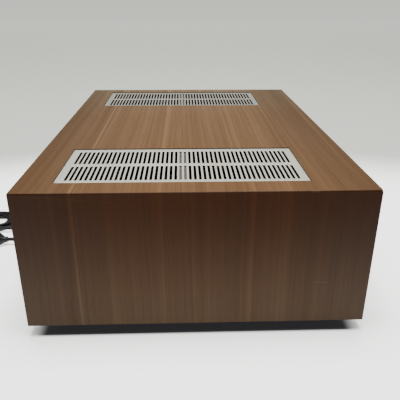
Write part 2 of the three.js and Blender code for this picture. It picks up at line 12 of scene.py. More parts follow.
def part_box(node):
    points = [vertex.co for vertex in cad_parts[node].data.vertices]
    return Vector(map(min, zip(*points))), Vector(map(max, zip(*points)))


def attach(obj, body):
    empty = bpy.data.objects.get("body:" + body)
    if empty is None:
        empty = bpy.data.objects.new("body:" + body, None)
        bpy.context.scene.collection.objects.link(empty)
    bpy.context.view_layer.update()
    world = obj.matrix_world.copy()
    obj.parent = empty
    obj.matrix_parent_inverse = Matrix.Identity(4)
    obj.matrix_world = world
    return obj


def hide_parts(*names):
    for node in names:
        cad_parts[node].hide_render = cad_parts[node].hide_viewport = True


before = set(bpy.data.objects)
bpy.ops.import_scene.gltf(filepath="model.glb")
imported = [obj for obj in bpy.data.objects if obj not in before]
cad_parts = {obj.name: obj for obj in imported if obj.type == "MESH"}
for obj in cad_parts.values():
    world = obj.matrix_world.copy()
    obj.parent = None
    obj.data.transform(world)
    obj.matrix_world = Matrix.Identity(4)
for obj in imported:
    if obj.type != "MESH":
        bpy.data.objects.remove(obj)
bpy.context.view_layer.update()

MM = 0.001
FULL_TURN = 2 * math.pi
X_AXIS, Y_AXIS, Z_AXIS = Vector((1, 0, 0)), Vector((0, 1, 0)), Vector((0, 0, 1))

# -------- places taken from the frame
SLEEVE_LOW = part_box("cabinet_side_left")[0]
SLEEVE_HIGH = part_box("cabinet_side_right")[1]
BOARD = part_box("cabinet_side_left")[1].x - SLEEVE_LOW.x
MIDDLE_Y = (SLEEVE_LOW.y + SLEEVE_HIGH.y) / 2
FACE_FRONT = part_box("face_plate")[0].y
REAR_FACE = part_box("rear_panel")[1].y
SEAT = REAR_FACE + 0.3 * MM
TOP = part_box("cabinet_top")[1].z
UNDER_TOP = TOP - BOARD
FLOOR_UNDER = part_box("bottom_cover")[0].z


def centre(node):
    low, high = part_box(node)
    return (low + high) / 2


def add_object(name, data):
    obj = bpy.data.objects.new(name, data)
    bpy.context.scene.collection.objects.link(obj)
    return obj


# -------- camera
CAMERA_FROM_SLEEVE = Vector((-0.6585, 0.0134, 0.3150))
SENSOR_WIDTH, LENS = 36, 43.55
CAMERA_YAW, CAMERA_DOWN, CAMERA_ROLL = math.radians(-2.203), math.radians(23.39), math.radians(0.25)


def add_camera():
    data = bpy.data.cameras.new("camera")
    data.sensor_width = SENSOR_WIDTH
    data.lens = LENS
    data.clip_start = 0.01
    flat = math.cos(CAMERA_DOWN)
    ahead = Vector((math.cos(CAMERA_YAW) * flat, math.sin(CAMERA_YAW) * flat, -math.sin(CAMERA_DOWN)))
    level = ahead.cross(Z_AXIS).normalized()
    upright = level.cross(ahead)
    right = level * math.cos(CAMERA_ROLL) + upright * math.sin(CAMERA_ROLL)
    up = upright * math.cos(CAMERA_ROLL) - level * math.sin(CAMERA_ROLL)
    camera = add_object("camera", data)
    place = Vector((0, MIDDLE_Y, SLEEVE_LOW.z)) + CAMERA_FROM_SLEEVE
    camera.matrix_world = Matrix.Translation(place) @ Matrix((right, up, -ahead)).transposed().to_4x4()
    bpy.context.scene.camera = camera


# -------- shader maths
class Value:
    """A shader socket that takes part in arithmetic: each operation adds one Math node."""

    def __init__(self, tree, socket):
        self.tree = tree
        self.socket = socket

    def math(self, operation, *terms):
        node = self.tree.nodes.new("ShaderNodeMath")
        node.operation = operation
        for entry, term in zip(node.inputs, terms):
            if isinstance(term, Value):
                self.tree.links.new(term.socket, entry)
            else:
                entry.default_value = term
        return Value(self.tree, node.outputs[0])

    def __add__(self, other):
        return self.math("ADD", self, other)

    def __radd__(self, other):
        return self.math("ADD", other, self)

    def __sub__(self, other):
        return self.math("SUBTRACT", self, other)

    def __rsub__(self, other):
        return self.math("SUBTRACT", other, self)

    def __mul__(self, other):
        return self.math("MULTIPLY", self, other)

    def __rmul__(self, other):
        return self.math("MULTIPLY", other, self)

    def __pow__(self, other):
        return self.math("POWER", self, other)

    def __gt__(self, other):
        return self.math("GREATER_THAN", self, other)

    def __lt__(self, other):
        return self.math("LESS_THAN", self, other)

    def absolute(self):
        return self.math("ABSOLUTE", self)

    def wave(self):
        return self.math("SINE", self)

    def clamped(self):
        node = self.tree.nodes.new("ShaderNodeClamp")
        self.tree.links.new(self.socket, node.inputs[0])
        return Value(self.tree, node.outputs[0])


class Finish:
    """A Principled material whose patterns read Object coordinates."""

    def __init__(self, name, **constants):
        self.material = bpy.data.materials.new(name)
        self.material.use_nodes = True
        self.tree = self.material.node_tree
        self.shader = self.tree.nodes["Principled BSDF"]
        for words, value in constants.items():
            self.shader.inputs[words.replace("_", " ")].default_value = value
        self.place = self.node("ShaderNodeTexCoord", {}, {}, "Object")

    def node(self, kind, settings, inputs, output=0):
        node = self.tree.nodes.new(kind)
        for key, value in settings.items():
            if key == "stops":
                ramp = node.color_ramp
                while len(ramp.elements) < len(value):
                    ramp.elements.new(0.5)
                for element, (position, colour) in zip(ramp.elements, value):
                    element.position = position
                    element.color = (*colour, 1)
            else:
                setattr(node, key, value)
        for key, value in inputs.items():
            if isinstance(value, Value):
                self.tree.links.new(value.socket, node.inputs[key])
            else:
                node.inputs[key].default_value = value
        return Value(self.tree, node.outputs[output])

    def moved(self, scale=(1, 1, 1), shift=(0, 0, 0), turn=(0, 0, 0), of=None):
        return self.node("ShaderNodeMapping", {}, {
            "Vector": of or self.place, "Scale": scale, "Location": shift, "Rotation": turn})

    def noise(self, scale, detail, roughness, shift=(0, 0, 0), of=None):
        return self.node("ShaderNodeTexNoise", {}, {
            "Vector": self.moved(scale, shift, of=of), "Scale": 1.0, "Detail": detail,
            "Roughness": roughness}, "Fac")

    def axis(self, name, of=None):
        return self.node("ShaderNodeSeparateXYZ", {}, {0: of or self.place}, name)

    def ramp(self, value, stops):
        return self.node("ShaderNodeValToRGB", {"stops": stops}, {"Fac": value}, "Color")

    def band(self, value, low, high):
        """Zero below low, one above high and smooth between."""
        return self.node("ShaderNodeMapRange", {"interpolation_type": "SMOOTHSTEP"}, {
            "Value": value, "From Min": low, "From Max": high}, "Result")

    def mix(self, amount, a, b, blend="MIX"):
        node = self.tree.nodes.new("ShaderNodeMix")
        node.data_type = "RGBA"
        node.blend_type = blend
        for entry, value in ((0, amount), (6, a), (7, b)):
            if isinstance(value, Value):
                self.tree.links.new(value.socket, node.inputs[entry])
            elif entry:
                node.inputs[entry].default_value = (*value, 1)
            else:
                node.inputs[entry].default_value = value
        return Value(self.tree, node.outputs[2])

    def give(self, **links):
        for words, value in links.items():
            self.tree.links.new(value.socket, self.shader.inputs[words.replace("_", " ")])
        return self

    def bump(self, height, strength, distance):
        inputs = {"Height": height, "Strength": strength, "Distance": distance}
        return self.give(Normal=self.node("ShaderNodeBump", {}, inputs, "Normal"))


# -------- materials
# Multipliers for the walnut: a painted sheen along X on the top, greyer towards the right, far end, and
# painted light and shade up Z on the sides, lighter low down.
TOP_LEFT_PAINTED_SHEEN, TOP_MIDDLE_PAINTED_SHEEN, TOP_RIGHT_PAINTED_SHEEN = (0.56, 0.565, 0.56), (0.55, 0.60, 0.67), (0.61, 0.79, 1.0)
SIDE_LOW_PAINTED_LIGHT, SIDE_HIGH_PAINTED_SHADE = (0.555, 0.595, 0.645), (0.26, 0.142, 0.028)
CHIP_Y, STREAK_Y = -0.105, 0.122
# Each scratch runs from one (y, z) to another on the left side.
SCRATCHES = [((0.168, 0.1554), (0.0795, 0.1483)), ((-0.108, 0.0600), (-0.132, 0.0578))]


def scratch(wood, start, end, width=0.0005):
    """How much of a fine scratch shows: a line in the YZ plane on the left side of the sleeve."""
    x, y, z = wood.axis("X"), wood.axis("Y"), wood.axis("Z")
    slope = (end[1] - start[1]) / (end[0] - start[0])
    off_line = (z - ((y - start[0]) * slope + start[1])).absolute()
    along = wood.band(y, end[0], end[0] + 0.01) * (1 - wood.band(y, start[0] - 0.01, start[0]))
    faint = wood.band(wood.noise((1, 60, 60), 3, 0.7, shift=(0, 4, 1)), 0.35, 0.60)
    return (1 - wood.band(off_line, width * 0.4, width)) * along * faint * (x < SLEEVE_LOW.x + 0.001)


def wear_marks(wood):
    """A chip in the left edge of the top, and the scratches."""
    x, y, z = wood.axis("X"), wood.axis("Y"), wood.axis("Z")
    marks = (1 - wood.band((y - CHIP_Y).absolute(), 0.002, 0.005)) * (z > SLEEVE_HIGH.z - 0.0014)
    marks = marks * (x < SLEEVE_LOW.x + 0.0012)
    for start, end in SCRATCHES:
        marks = marks + scratch(wood, start, end)
    return marks.clamped()


def painted_sheen_and_shade(wood, colour):
    """Painted sheen and shade: the top is tinted along X, greyer towards its far, right end as a painted
    reflection, and the sides up Z, lighter low down as painted light and darker higher up as painted shade.
    """
    x, z = wood.axis("X"), wood.axis("Z")
    on_side = wood.band(x.absolute(), SLEEVE_HIGH.x - 0.0016, SLEEVE_HIGH.x - 0.0004)
    over_top = x - (x - SLEEVE_LOW.x) * on_side
    tint = wood.ramp(over_top + 0.5, [
        (0.5 + SLEEVE_LOW.x, TOP_LEFT_PAINTED_SHEEN), (0.46, TOP_MIDDLE_PAINTED_SHEEN),
        (0.54, TOP_MIDDLE_PAINTED_SHEEN), (0.5 + SLEEVE_HIGH.x, TOP_RIGHT_PAINTED_SHEEN),
    ])
    colour = wood.mix(1.0, colour, tint, "MULTIPLY")
    shade = wood.mix(wood.band(z, SLEEVE_LOW.z, SLEEVE_HIGH.z), SIDE_LOW_PAINTED_LIGHT, SIDE_HIGH_PAINTED_SHADE)
    return wood.mix(on_side, colour, wood.mix(1.0, colour, shade, "MULTIPLY"))


def walnut():
    """Oiled walnut veneer: the grain runs along X on the top and up Z on the sides.

    The pattern varies mostly across Y, or across the edging on the front and back ends.
    """
    wood = Finish("walnut_veneer", Specular_IOR_Level=0.10)
    x, y, z = wood.axis("X"), wood.axis("Y"), wood.axis("Z")
    off_middle = (y - MIDDLE_Y).absolute()
    beyond_mitre = (x.absolute() - z) > (SLEEVE_HIGH.x - SLEEVE_HIGH.z)
    edging = z + (x.absolute() - z) * beyond_mitre
    half_depth = (SLEEVE_HIGH.y - SLEEVE_LOW.y) / 2
    on_end = wood.band(off_middle, half_depth - 0.0006, half_depth - 0.0002)
    across = y + (edging - y) * on_end
    drift = wood.noise((2.2, 6, 2.2), 2, 0.5)
    bent = wood.node("ShaderNodeCombineXYZ", {}, {"X": x, "Y": across + (drift - 0.5) * 0.014, "Z": z})
    figure = wood.noise((0.9, 42, 0.9), 2, 0.5, of=bent)
    stripe = wood.noise((1.1, 240, 1.1), 3, 0.6, shift=(3, 0, 1), of=bent)
    fine = wood.noise((6, 640, 6), 3, 0.6, shift=(0, 5, 0), of=bent)
    pores = wood.band(wood.noise((40, 1700, 40), 1, 0.4, shift=(0, 0, 9), of=bent), 0.60, 0.74)
    glow = wood.band(wood.noise((0.7, 90, 0.7), 2, 0.5, shift=(5, 2, 0), of=bent), 0.56, 0.72)
    streak = 1 - wood.band((across - STREAK_Y).absolute(), 0.0008, 0.0020)
    colour = wood.ramp(figure * 0.34 + stripe * 0.42 + fine * 0.24, [
        (0.32, (0.146, 0.071, 0.031)), (0.45, (0.188, 0.096, 0.043)),
        (0.55, (0.219, 0.115, 0.053)), (0.68, (0.268, 0.148, 0.070)),
    ])
    for amount, shade in (
        (glow * 0.26, (0.390, 0.195, 0.078)),
        (pores * 0.32, (0.060, 0.030, 0.014)),
        (wood.band(off_middle, 0.065, 0.155) * 0.32, (0.035, 0.022, 0.013)),
        (wear_marks(wood) * 0.55, (0.34, 0.25, 0.17)),
        (streak * 0.34, (0.400, 0.225, 0.110)),
    ):
        colour = wood.mix(amount, colour, shade)
    # The colour then takes the painted sheen of the top and the painted shade of the sides.
    wood.give(Base_Color=painted_sheen_and_shade(wood, colour), Roughness=0.44 + 0.16 * stripe + 0.10 * pores)
    return wood.bump(fine * 0.5 - pores * 0.9, 0.22, 0.0002)


def satin_metal(name, tint, rough, along, grain=0.10):
    """Anodised or plated metal with a fine brushed grain along one axis."""
    metal = Finish(name, Metallic=1.0)
    scale = {"X": (5, 900, 900), "Y": (900, 5, 900), "Z": (900, 900, 5)}[along]
    lines = metal.noise(scale, 3, 0.7)
    cloud = metal.noise((9, 9, 9), 2, 0.5, shift=(4, 1, 2))
    shade = tuple(c * 0.90 for c in tint)
    metal.give(
        Base_Color=metal.mix(metal.band(lines * 0.6 + cloud * 0.4, 0.35, 0.65), shade, tint),
        Roughness=rough - grain / 2 + grain * lines + 0.06 * cloud,
    )
    return metal.bump(lines, 0.12, 0.00005)


def grille_metal():
    """Satin aluminium that has greyed a little, with a few dull patches, and a painted shade that darkens the
    far grille, on the right.
    """
    metal = Finish("satin_grille_aluminium", Metallic=0.55, Specular_IOR_Level=0.5)
    lines = metal.noise((900, 6, 900), 3, 0.7)
    dull = metal.band(metal.noise((14, 9, 14), 3, 0.6, shift=(2, 7, 0)), 0.50, 0.75)
    grit = metal.band(metal.noise((900, 900, 900), 1, 0.5), 0.68, 0.78)
    colour = metal.mix(dull * 0.5, (0.610, 0.590, 0.500), (0.520, 0.500, 0.415))
    colour = metal.mix(grit * 0.18, colour, (0.33, 0.30, 0.24))
    # Painted shade: the grille on the right, the far one, is darkened.
    far_grille_painted_shade = metal.band(metal.axis("X"), -0.05, 0.05)
    colour = metal.mix(far_grille_painted_shade * 0.66, colour, (0.25, 0.24, 0.21))
    metal.give(Base_Color=colour, Roughness=0.40 + 0.10 * lines + 0.10 * dull)
    return metal.bump(lines, 0.08, 0.00005)


def spun_metal(name, hub):
    """Machined knob metal: rings round the shaft on its face."""
    metal = Finish(name, Metallic=1.0)
    off = metal.moved(shift=(-hub.x, 0, -hub.z))
    x, z = metal.axis("X", off), metal.axis("Z", off)
    away = (x * x + z * z) ** 0.5
    turns = (away * 7000).wave() * 0.5 + 0.5
    chatter = metal.noise((160, 160, 160), 2, 0.6)
    metal.give(
        Base_Color=metal.mix(turns * 0.6 + chatter * 0.4, (0.60, 0.59, 0.56), (0.44, 0.43, 0.41)),
        Roughness=0.20 + 0.12 * turns + 0.07 * chatter,
    )
    return metal.bump(turns, 0.35, 0.0001)


def moulded(name, colour, rough, speckle=0.10, grain=900, coat=0.0, shine=0.5):
    """Moulded plastic or rubber with a fine skin texture and slight handling marks."""
    plastic = Finish(name, Coat_Weight=coat, Coat_Roughness=0.2, Specular_IOR_Level=shine)
    skin = plastic.noise((grain, grain, grain), 2, 0.5)
    wear = plastic.noise((22, 22, 22), 4, 0.6, shift=(1, 3, 5))
    paler = tuple(min(1.0, c * 1.5 + 0.010) for c in colour)
    plastic.give(
        Base_Color=plastic.mix(plastic.band(wear, 0.45, 0.8), colour, paler),
        Roughness=rough - speckle / 2 + speckle * skin + 0.12 * wear,
    )
    return plastic.bump(skin, 0.15, 0.00008)


def enamel(name, colour):
    """Baked enamel on sheet steel: a fine orange-peel surface with a little dust."""
    paint = Finish(name, Specular_IOR_Level=0.4)
    peel = paint.noise((420, 420, 420), 2, 0.5)
    dust = paint.band(paint.noise((16, 16, 16), 4, 0.65, shift=(2, 0, 4)), 0.48, 0.80)
    paler = tuple(c * 1.6 + 0.020 for c in colour)
    paint.give(Base_Color=paint.mix(dust * 0.5, colour, paler), Roughness=0.46 + 0.10 * peel + 0.14 * dust)
    return paint.bump(peel, 0.20, 0.0001)


def zinc():
    """Zinc plate, with the faint crystal pattern of passivated steel."""
    metal = Finish("zinc_plate", Metallic=1.0)
    crystal = metal.node("ShaderNodeTexVoronoi", {"feature": "F1"}, {
        "Vector": metal.place, "Scale": 90.0}, "Color")
    cloud = metal.noise((20, 20, 20), 3, 0.5)
    colour = metal.mix(cloud, (0.50, 0.50, 0.47), (0.60, 0.58, 0.50))
    colour = metal.mix(0.10, colour, crystal, "OVERLAY")
    return metal.give(Base_Color=colour, Roughness=0.34 + 0.14 * cloud)


def laminate():
    """Phenolic circuit board with a printed copper pattern showing through."""
    board = Finish("circuit_board", Specular_IOR_Level=0.5)
    fibre = board.noise((300, 40, 300), 3, 0.6)
    tracks = board.node("ShaderNodeTexBrick", {"offset": 0.37}, {
        "Vector": board.moved(turn=(math.radians(90), 0, 0)), "Scale": 60.0, "Mortar Size": 0.06,
    }, "Fac")
    colour = board.mix(fibre, (0.20, 0.105, 0.035), (0.31, 0.175, 0.060))
    colour = board.mix(tracks * 0.5, colour, (0.12, 0.15, 0.05))
    return board.give(Base_Color=colour, Roughness=0.42 + 0.2 * fibre)


def amber():
    """A moulded amber lens, warmer where it is thick."""
    lens = Finish("amber_lens", Coat_Weight=0.8, Coat_Roughness=0.05)
    depth = lens.noise((260, 260, 260), 2, 0.5)
    colour = lens.mix(depth, (0.55, 0.16, 0.02), (0.80, 0.30, 0.05))
    return lens.give(Base_Color=colour, Roughness=0.12 + 0.08 * depth)


def table_top():
    """Matte white with a glow of its own that paints in the light: greyer and dimmer far off as painted
    shade, brighter again beyond a metre as painted light, glowing more close to the sleeve as painted light,
    dimmed beside it as painted shadow and dark below it as painted shadow.
    """
    paper = Finish("pale_table", Specular_IOR_Level=0.30, Emission_Strength=1.0)
    x = paper.axis("X")
    across, off_middle = x.absolute(), (paper.axis("Y") - MIDDLE_Y).absolute()
    half_depth = SLEEVE_HIGH.y - MIDDLE_Y
    cloud = paper.noise((1.3, 1.3, 1.3), 3, 0.5)
    # Painted shade: far off the floor turns greyer and glows less, standing in for the wall behind in shade.
    far_painted_shade = paper.band(x + 0.10 * cloud + 0.25 * off_middle, 0.28, 0.52)
    # Painted light: beyond a metre the floor is brighter again, making up for the lamp's fall-off.
    further_painted_light = paper.band(x, 1.0, 5.0)
    # Painted light: the floor glows more close to the sleeve, cancelling its shadow.
    near = 1 - paper.band(across, 0.26, 0.46)
    # Painted shadow beside the sleeve, off its front and back ends.
    beside = (1 - paper.band(across, 0.22, 0.28)) * (
        1 - paper.band(off_middle, half_depth, half_depth + 0.13))
    # Painted shadow below the sleeve: a dark tone and almost no glow.
    painted_shadow_below = (1 - paper.band(across, SLEEVE_HIGH.x - 0.001, SLEEVE_HIGH.x + 0.004)) * (
        1 - paper.band(off_middle, half_depth - 0.018, half_depth + 0.006))
    tone = paper.mix(far_painted_shade, (0.90, 0.90, 0.89), (0.34, 0.35, 0.315))
    tone = paper.mix(further_painted_light, tone, (0.52, 0.53, 0.480))
    tone = paper.mix(painted_shadow_below, tone, (0.035, 0.035, 0.040))
    glow = paper.mix(near, (1, 1, 0.985), (1.22, 1.22, 1.20))
    glow = paper.mix(far_painted_shade, glow, (0.44, 0.45, 0.405))
    glow = paper.mix(further_painted_light, glow, (0.68, 0.69, 0.635))
    glow = paper.mix(beside, glow, (0.66, 0.66, 0.64))
    glow = paper.mix(painted_shadow_below, glow, (0.024, 0.024, 0.026))
    return paper.give(Base_Color=tone, Emission_Color=glow, Roughness=0.34 + 0.1 * cloud)


def build_materials():
    silver = (0.60, 0.59, 0.56)
    return {
        "walnut": walnut(),
        "grille": grille_metal(),
        "bar": satin_metal("grey_bar_metal", (0.17, 0.16, 0.135), 0.5, "X"),
        "face": satin_metal("brushed_face_aluminium", silver, 0.30, "X", 0.16),
        "lever": satin_metal("lever_aluminium", silver, 0.24, "Y"),
        "nickel": satin_metal("bright_nickel", (0.68, 0.65, 0.58), 0.20, "Y", 0.06),
        "screw": satin_metal("screw_steel", (0.42, 0.41, 0.39), 0.30, "Z", 0.08),
        "brass": satin_metal("blade_brass", (0.72, 0.60, 0.36), 0.26, "Y"),
        "zinc": zinc(),
        "black_steel": enamel("black_enamel", (0.016, 0.016, 0.017)),
        "black": moulded("black_phenolic", (0.012, 0.012, 0.013), 0.36, coat=0.15),
        "red": moulded("red_plastic", (0.36, 0.016, 0.012), 0.34, coat=0.2),
        "white": moulded("white_insulator", (0.70, 0.68, 0.60), 0.38),
        "rubber": moulded("foot_rubber", (0.016, 0.016, 0.016), 0.62, 0.16, 500),
        "vinyl": moulded("lead_vinyl", (0.007, 0.007, 0.008), 0.38, 0.08, 1400, shine=0.2),
        "ink": moulded("panel_ink", (0.015, 0.015, 0.015), 0.5),
        "paint_line": moulded("white_panel_print", (0.62, 0.62, 0.58), 0.5),
        # The grille slot walls: a dark painted shade.
        "slot_wall": enamel("painted_shade_slot_wall", (0.045, 0.044, 0.040)),
        "fins": enamel("black_anodised_fins", (0.022, 0.022, 0.024)),
        "board": laminate(),
        "sleeve_blue": moulded("capacitor_sleeve", (0.012, 0.020, 0.055), 0.25, coat=0.4),
        "amber": amber(),
    }


# -------- outlines, in one plane
def arc(u, v, radius, start, end, steps):
    """Points on an arc, from start to end in degrees."""
    turns = [math.radians(start + (end - start) * i / steps) for i in range(steps + 1)]
    return [(u + radius * math.cos(a), v + radius * math.sin(a)) for a in turns]


def ring(u, v, radius, steps):
    return arc(u, v, radius, 0, 360, steps)[:-1]


def rounded(u, v, width, height, radius, steps):
    """A rectangle round (u, v) with rounded corners."""
    a, b = width / 2 - radius, height / 2 - radius
    return (arc(u + a, v + b, radius, 0, 90, steps) + arc(u - a, v + b, radius, 90, 180, steps)
            + arc(u - a, v - b, radius, 180, 270, steps) + arc(u + a, v - b, radius, 270, 360, steps))


def rectangle(u, v, width, height):
    a, b = width / 2, height / 2
    return [(u + a, v + b), (u - a, v + b), (u - a, v - b), (u + a, v - b)]


def outline_of(node, radius, steps, v=2):
    """The rounded outline of a node's box in the XZ plane, or in the XY plane with v as 1."""
    middle, (low, high) = centre(node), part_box(node)
    return rounded(middle.x, middle[v], high.x - low.x, high[v] - low[v], radius, steps)


def hole_at(node, radius, steps):
    """A round hole for a fitting on the front or the rear, with its radius in millimetres."""
    return ring(centre(node).x, centre(node).z, radius * MM, steps)


def toothed(hub, radius, steps, dip):
    """A circle in the XZ plane whose points are each drawn in by dip(number)."""
    circle = ring(0, 0, 1, steps)
    return [(hub.x + (radius - dip(i)) * u, hub.z + (radius - dip(i)) * v) for i, (u, v) in enumerate(circle)]


def past(w, *points):
    """Part of a turned profile: each radius and how far past w it is, in millimetres."""
    return [(radius * MM, w + far * MM) for radius, far in points]


def at(axis, u, v, w):
    """A point at w along an axis: u and v are the other two coordinates, in order."""
    return {"x": (w, u, v), "y": (u, w, v), "z": (u, v, w)}[axis]


# -------- shapes
def verts_of(geometry):
    return [g for g in geometry if isinstance(g, bmesh.types.BMVert)]


def edges_of(geometry):
    return [g for g in geometry if isinstance(g, bmesh.types.BMEdge)]


def closed_loop(bm, points):
    """The edges of a closed loop through the points."""
    verts = [bm.verts.new(point) for point in points]
    return [bm.edges.new(pair) for pair in zip(verts, verts[1:] + verts[:1])]


def draw_faces(bm, faces, move):
    """Extrudes faces by a move, into a closed body."""
    grown = bmesh.ops.extrude_face_region(bm, geom=faces)["geom"]
    bmesh.ops.translate(bm, verts=verts_of(grown), vec=move)
    bmesh.ops.recalc_face_normals(bm, faces=bm.faces[:])


def draw_edges(bm, edges, move):
    """Extrudes edges by a move and returns what is new."""
    grown = bmesh.ops.extrude_edge_only(bm, edges=edges)["geom"]
    bmesh.ops.translate(bm, verts=verts_of(grown), vec=move)
    return grown


def bevel_edges(bm, edges, width):
    bmesh.ops.bevel(bm, geom=edges, offset=width, offset_type="OFFSET", affect="EDGES", segments=2,
                    profile=0.5, material=-1, clamp_overlap=True)


def plate(axis, low, high, outline, holes=()):
    """A plate between two coordinates on an axis, from its outline and those of its holes."""
    bm = bmesh.new()
    edges = []
    for points in (outline, *holes):
        edges += closed_loop(bm, [at(axis, u, v, low) for u, v in points])
    bmesh.ops.triangle_fill(bm, use_beauty=True, use_dissolve=False, edges=edges)
    draw_faces(bm, bm.faces[:], Vector(at(axis, 0, 0, high - low)))
    return bm


def turned(axis, u, v, profile, steps):
    """A body of revolution from [radius, w] pairs, about an axis through (u, v)."""
    bm = bmesh.new()
    hub = Vector(at(axis, u, v, 0))
    verts = [bm.verts.new(at(axis, u + radius, v, w)) for radius, w in profile]
    edges = [bm.edges.new(pair) for pair in zip(verts, verts[1:])]
    bmesh.ops.spin(bm, geom=verts + edges, cent=hub, axis=Vector(at(axis, 0, 0, 1)), angle=FULL_TURN,
                   steps=steps, use_merge=True, use_duplicate=False)
    bmesh.ops.remove_doubles(bm, verts=bm.verts[:], dist=1e-7)
    bmesh.ops.recalc_face_normals(bm, faces=bm.faces[:])
    return bm


def gather(*shapes):
    """Several shapes in one mesh."""
    whole = bmesh.new()
    for shape in shapes:
        carrier = bpy.data.meshes.new("carrier")
        shape.to_mesh(carrier)
        shape.free()
        whole.from_mesh(carrier)
        bpy.data.meshes.remove(carrier)
    return whole


def copy_of(node):
    """A CAD node's shape as clean faces."""
    bm = bmesh.new()
    bm.from_mesh(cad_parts[node].data)
    bmesh.ops.remove_doubles(bm, verts=bm.verts[:], dist=2e-6)
    bmesh.ops.dissolve_limit(bm, angle_limit=math.radians(1), verts=bm.verts[:], edges=bm.edges[:])
    return bm


def mesh_object(name, bm, *materials):
    mesh = bpy.data.meshes.new(name)
    bm.to_mesh(mesh)
    bm.free()
    for material in materials:
        mesh.materials.append(material.material)
    return add_object(name, mesh)


def piece(name, bm, *materials, body="root", replaces=(), slot=None, soften=0.0, segments=2, crease=35):
    """Makes the finished object: its materials, its bevel, its body and the nodes it replaces. Its slot is
    not used.
    """
    obj = mesh_object(name, bm, *materials)
    for face in obj.data.polygons:
        face.use_smooth = True
    obj.data.set_sharp_from_angle(angle=math.radians(crease))
    if soften:
        bevel = obj.modifiers.new("edges", "BEVEL")
        bevel.width = soften
        bevel.segments = segments
        bevel.limit_method = "ANGLE"
        bevel.angle_limit = math.radians(crease)
        bevel.harden_normals = True
        bevel.use_clamp_overlap = True
    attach(obj, body)
    if replaces:
        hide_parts(*replaces)
    return obj


# -------- mains lead
CORD = 0.005
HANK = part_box("cord_hank")
HANK_X = (HANK[0].x + HANK[1].x) / 2
HANK_RING, HANK_OUTER = 27.5 * MM, 30.2 * MM
HANK_FAR = HANK[1].y - HANK_OUTER
HANK_NEAR = HANK_FAR - 75 * MM
HANK_TURNS = [27.5 * MM, 22.5 * MM, 17.5 * MM, 20 * MM, 25 * MM]
ON_TABLE, ON_FIRST_LAYER = 2.6 * MM, 6.9 * MM

# Points are in millimetres from the middle of the sleeve, on the table.
LEAD_ROUTE = [
    (190, 193.6, 40), (190, 204, 39.6), (189.5, 216, 36), (187, 229, 26), (182, 238, 13.5), (174, 243, 5),
    (163, 244, 2.7), (150, 242, 2.6), (132, 236, 2.6), (112, 229, 2.6), (92, 226, 2.6), (74, 228, 2.6),
    (58, 234, 2.6), (47, 245, 2.6), (42.3, 259, 2.6), (41.5, 269, 2.6), (41.5, 277, 2.6),
]
TAIL_ROUTE = [
    (-13.5, 277, 6.8), (-13.5, 268, 6.3), (-14, 258, 4.6), (-16.5, 247, 3.1), (-22.5, 235.5, 2.6),
    (-33, 229.5, 2.6), (-44, 233, 3.6), (-50, 241, 6), (-52, 250, 8), (-52, 257.7, 8),
]


def from_sleeve(points):
    return [Vector((x * MM, y * MM + MIDDLE_Y, z * MM)) for x, y, z in points]


def hank_route():
    """Turns of two straight runs and two half rings: three turns on the table and the rest on them."""
    points = []
    half_ring_steps, run_steps = 9, 5
    run = HANK_FAR - HANK_NEAR
    for turn, radius in enumerate(HANK_TURNS):
        height = ON_TABLE if turn < 3 else ON_FIRST_LAYER
        last = turn == len(HANK_TURNS) - 1
        for i in range(1 if turn == 0 else 0, run_steps):
            points.append(Vector((HANK_X + radius, HANK_NEAR + run * i / run_steps, height)))
        for u, v in arc(HANK_X, HANK_FAR, radius, 0, 180, half_ring_steps):
            points.append(Vector((u, v, height)))
        for i in range(1, run_steps):
            share = i / run_steps
            spread = (HANK_RING - radius) * share if last else 0
            points.append(Vector((HANK_X - radius - spread, HANK_FAR - run * share, height)))
        if last:
            break
        climbs = turn == 2
        for i in range(half_ring_steps):
            share = i / half_ring_steps
            around = math.pi * (1 + share)
            tuck = 3.5 * MM * math.sin(math.pi * share) if climbs else 0
            reach = radius + (HANK_TURNS[turn + 1] - radius) * share - tuck
            rise = (ON_FIRST_LAYER - ON_TABLE) * share * share * (3 - 2 * share) if climbs else 0
            u, v = HANK_X + reach * math.cos(around), HANK_NEAR + reach * math.sin(around)
            points.append(Vector((u, v, height + rise)))
    return points


def smooth_curve(name, points, thickness, material):
    """A round lead along a smooth line through the points."""
    curve = bpy.data.curves.new(name, "CURVE")
    curve.dimensions = "3D"
    curve.bevel_depth = thickness / 2
    curve.bevel_resolution = 4
    curve.resolution_u = 6
    curve.use_fill_caps = True
    spline = curve.splines.new("BEZIER")
    spline.bezier_points.add(len(points) - 1)
    for knot, point in zip(spline.bezier_points, points):
        knot.co = point
        knot.handle_left_type = knot.handle_right_type = "AUTO"
    curve.materials.append(material.material)
    obj = add_object(name, curve)
    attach(obj, "root")
    return obj


def rounded_bar(axis, sections, steps=5):
    """A closed body lofted through rounded rectangles, each (w, u, v, width, height, radius)."""
    bm = bmesh.new()
    loops = []
    for w, u, v, width, height, radius in sections:
        outline = rounded(u, v, width, height, radius, steps)
        loops.append(closed_loop(bm, [at(axis, a, b, w) for a, b in outline]))
    for near, far in zip(loops, loops[1:]):
        bmesh.ops.bridge_loops(bm, edges=near + far)
    for end in (loops[0], loops[-1]):
        bmesh.ops.contextual_create(bm, geom=end)
    bmesh.ops.recalc_face_normals(bm, faces=bm.faces[:])
    return bm


def straight_bar(axis, start, end, *section, steps=3):
    """A rounded bar of one (u, v, width, height, radius) section from start to end on an axis."""
    return rounded_bar(axis, [(start, *section), (end, *section)], steps)


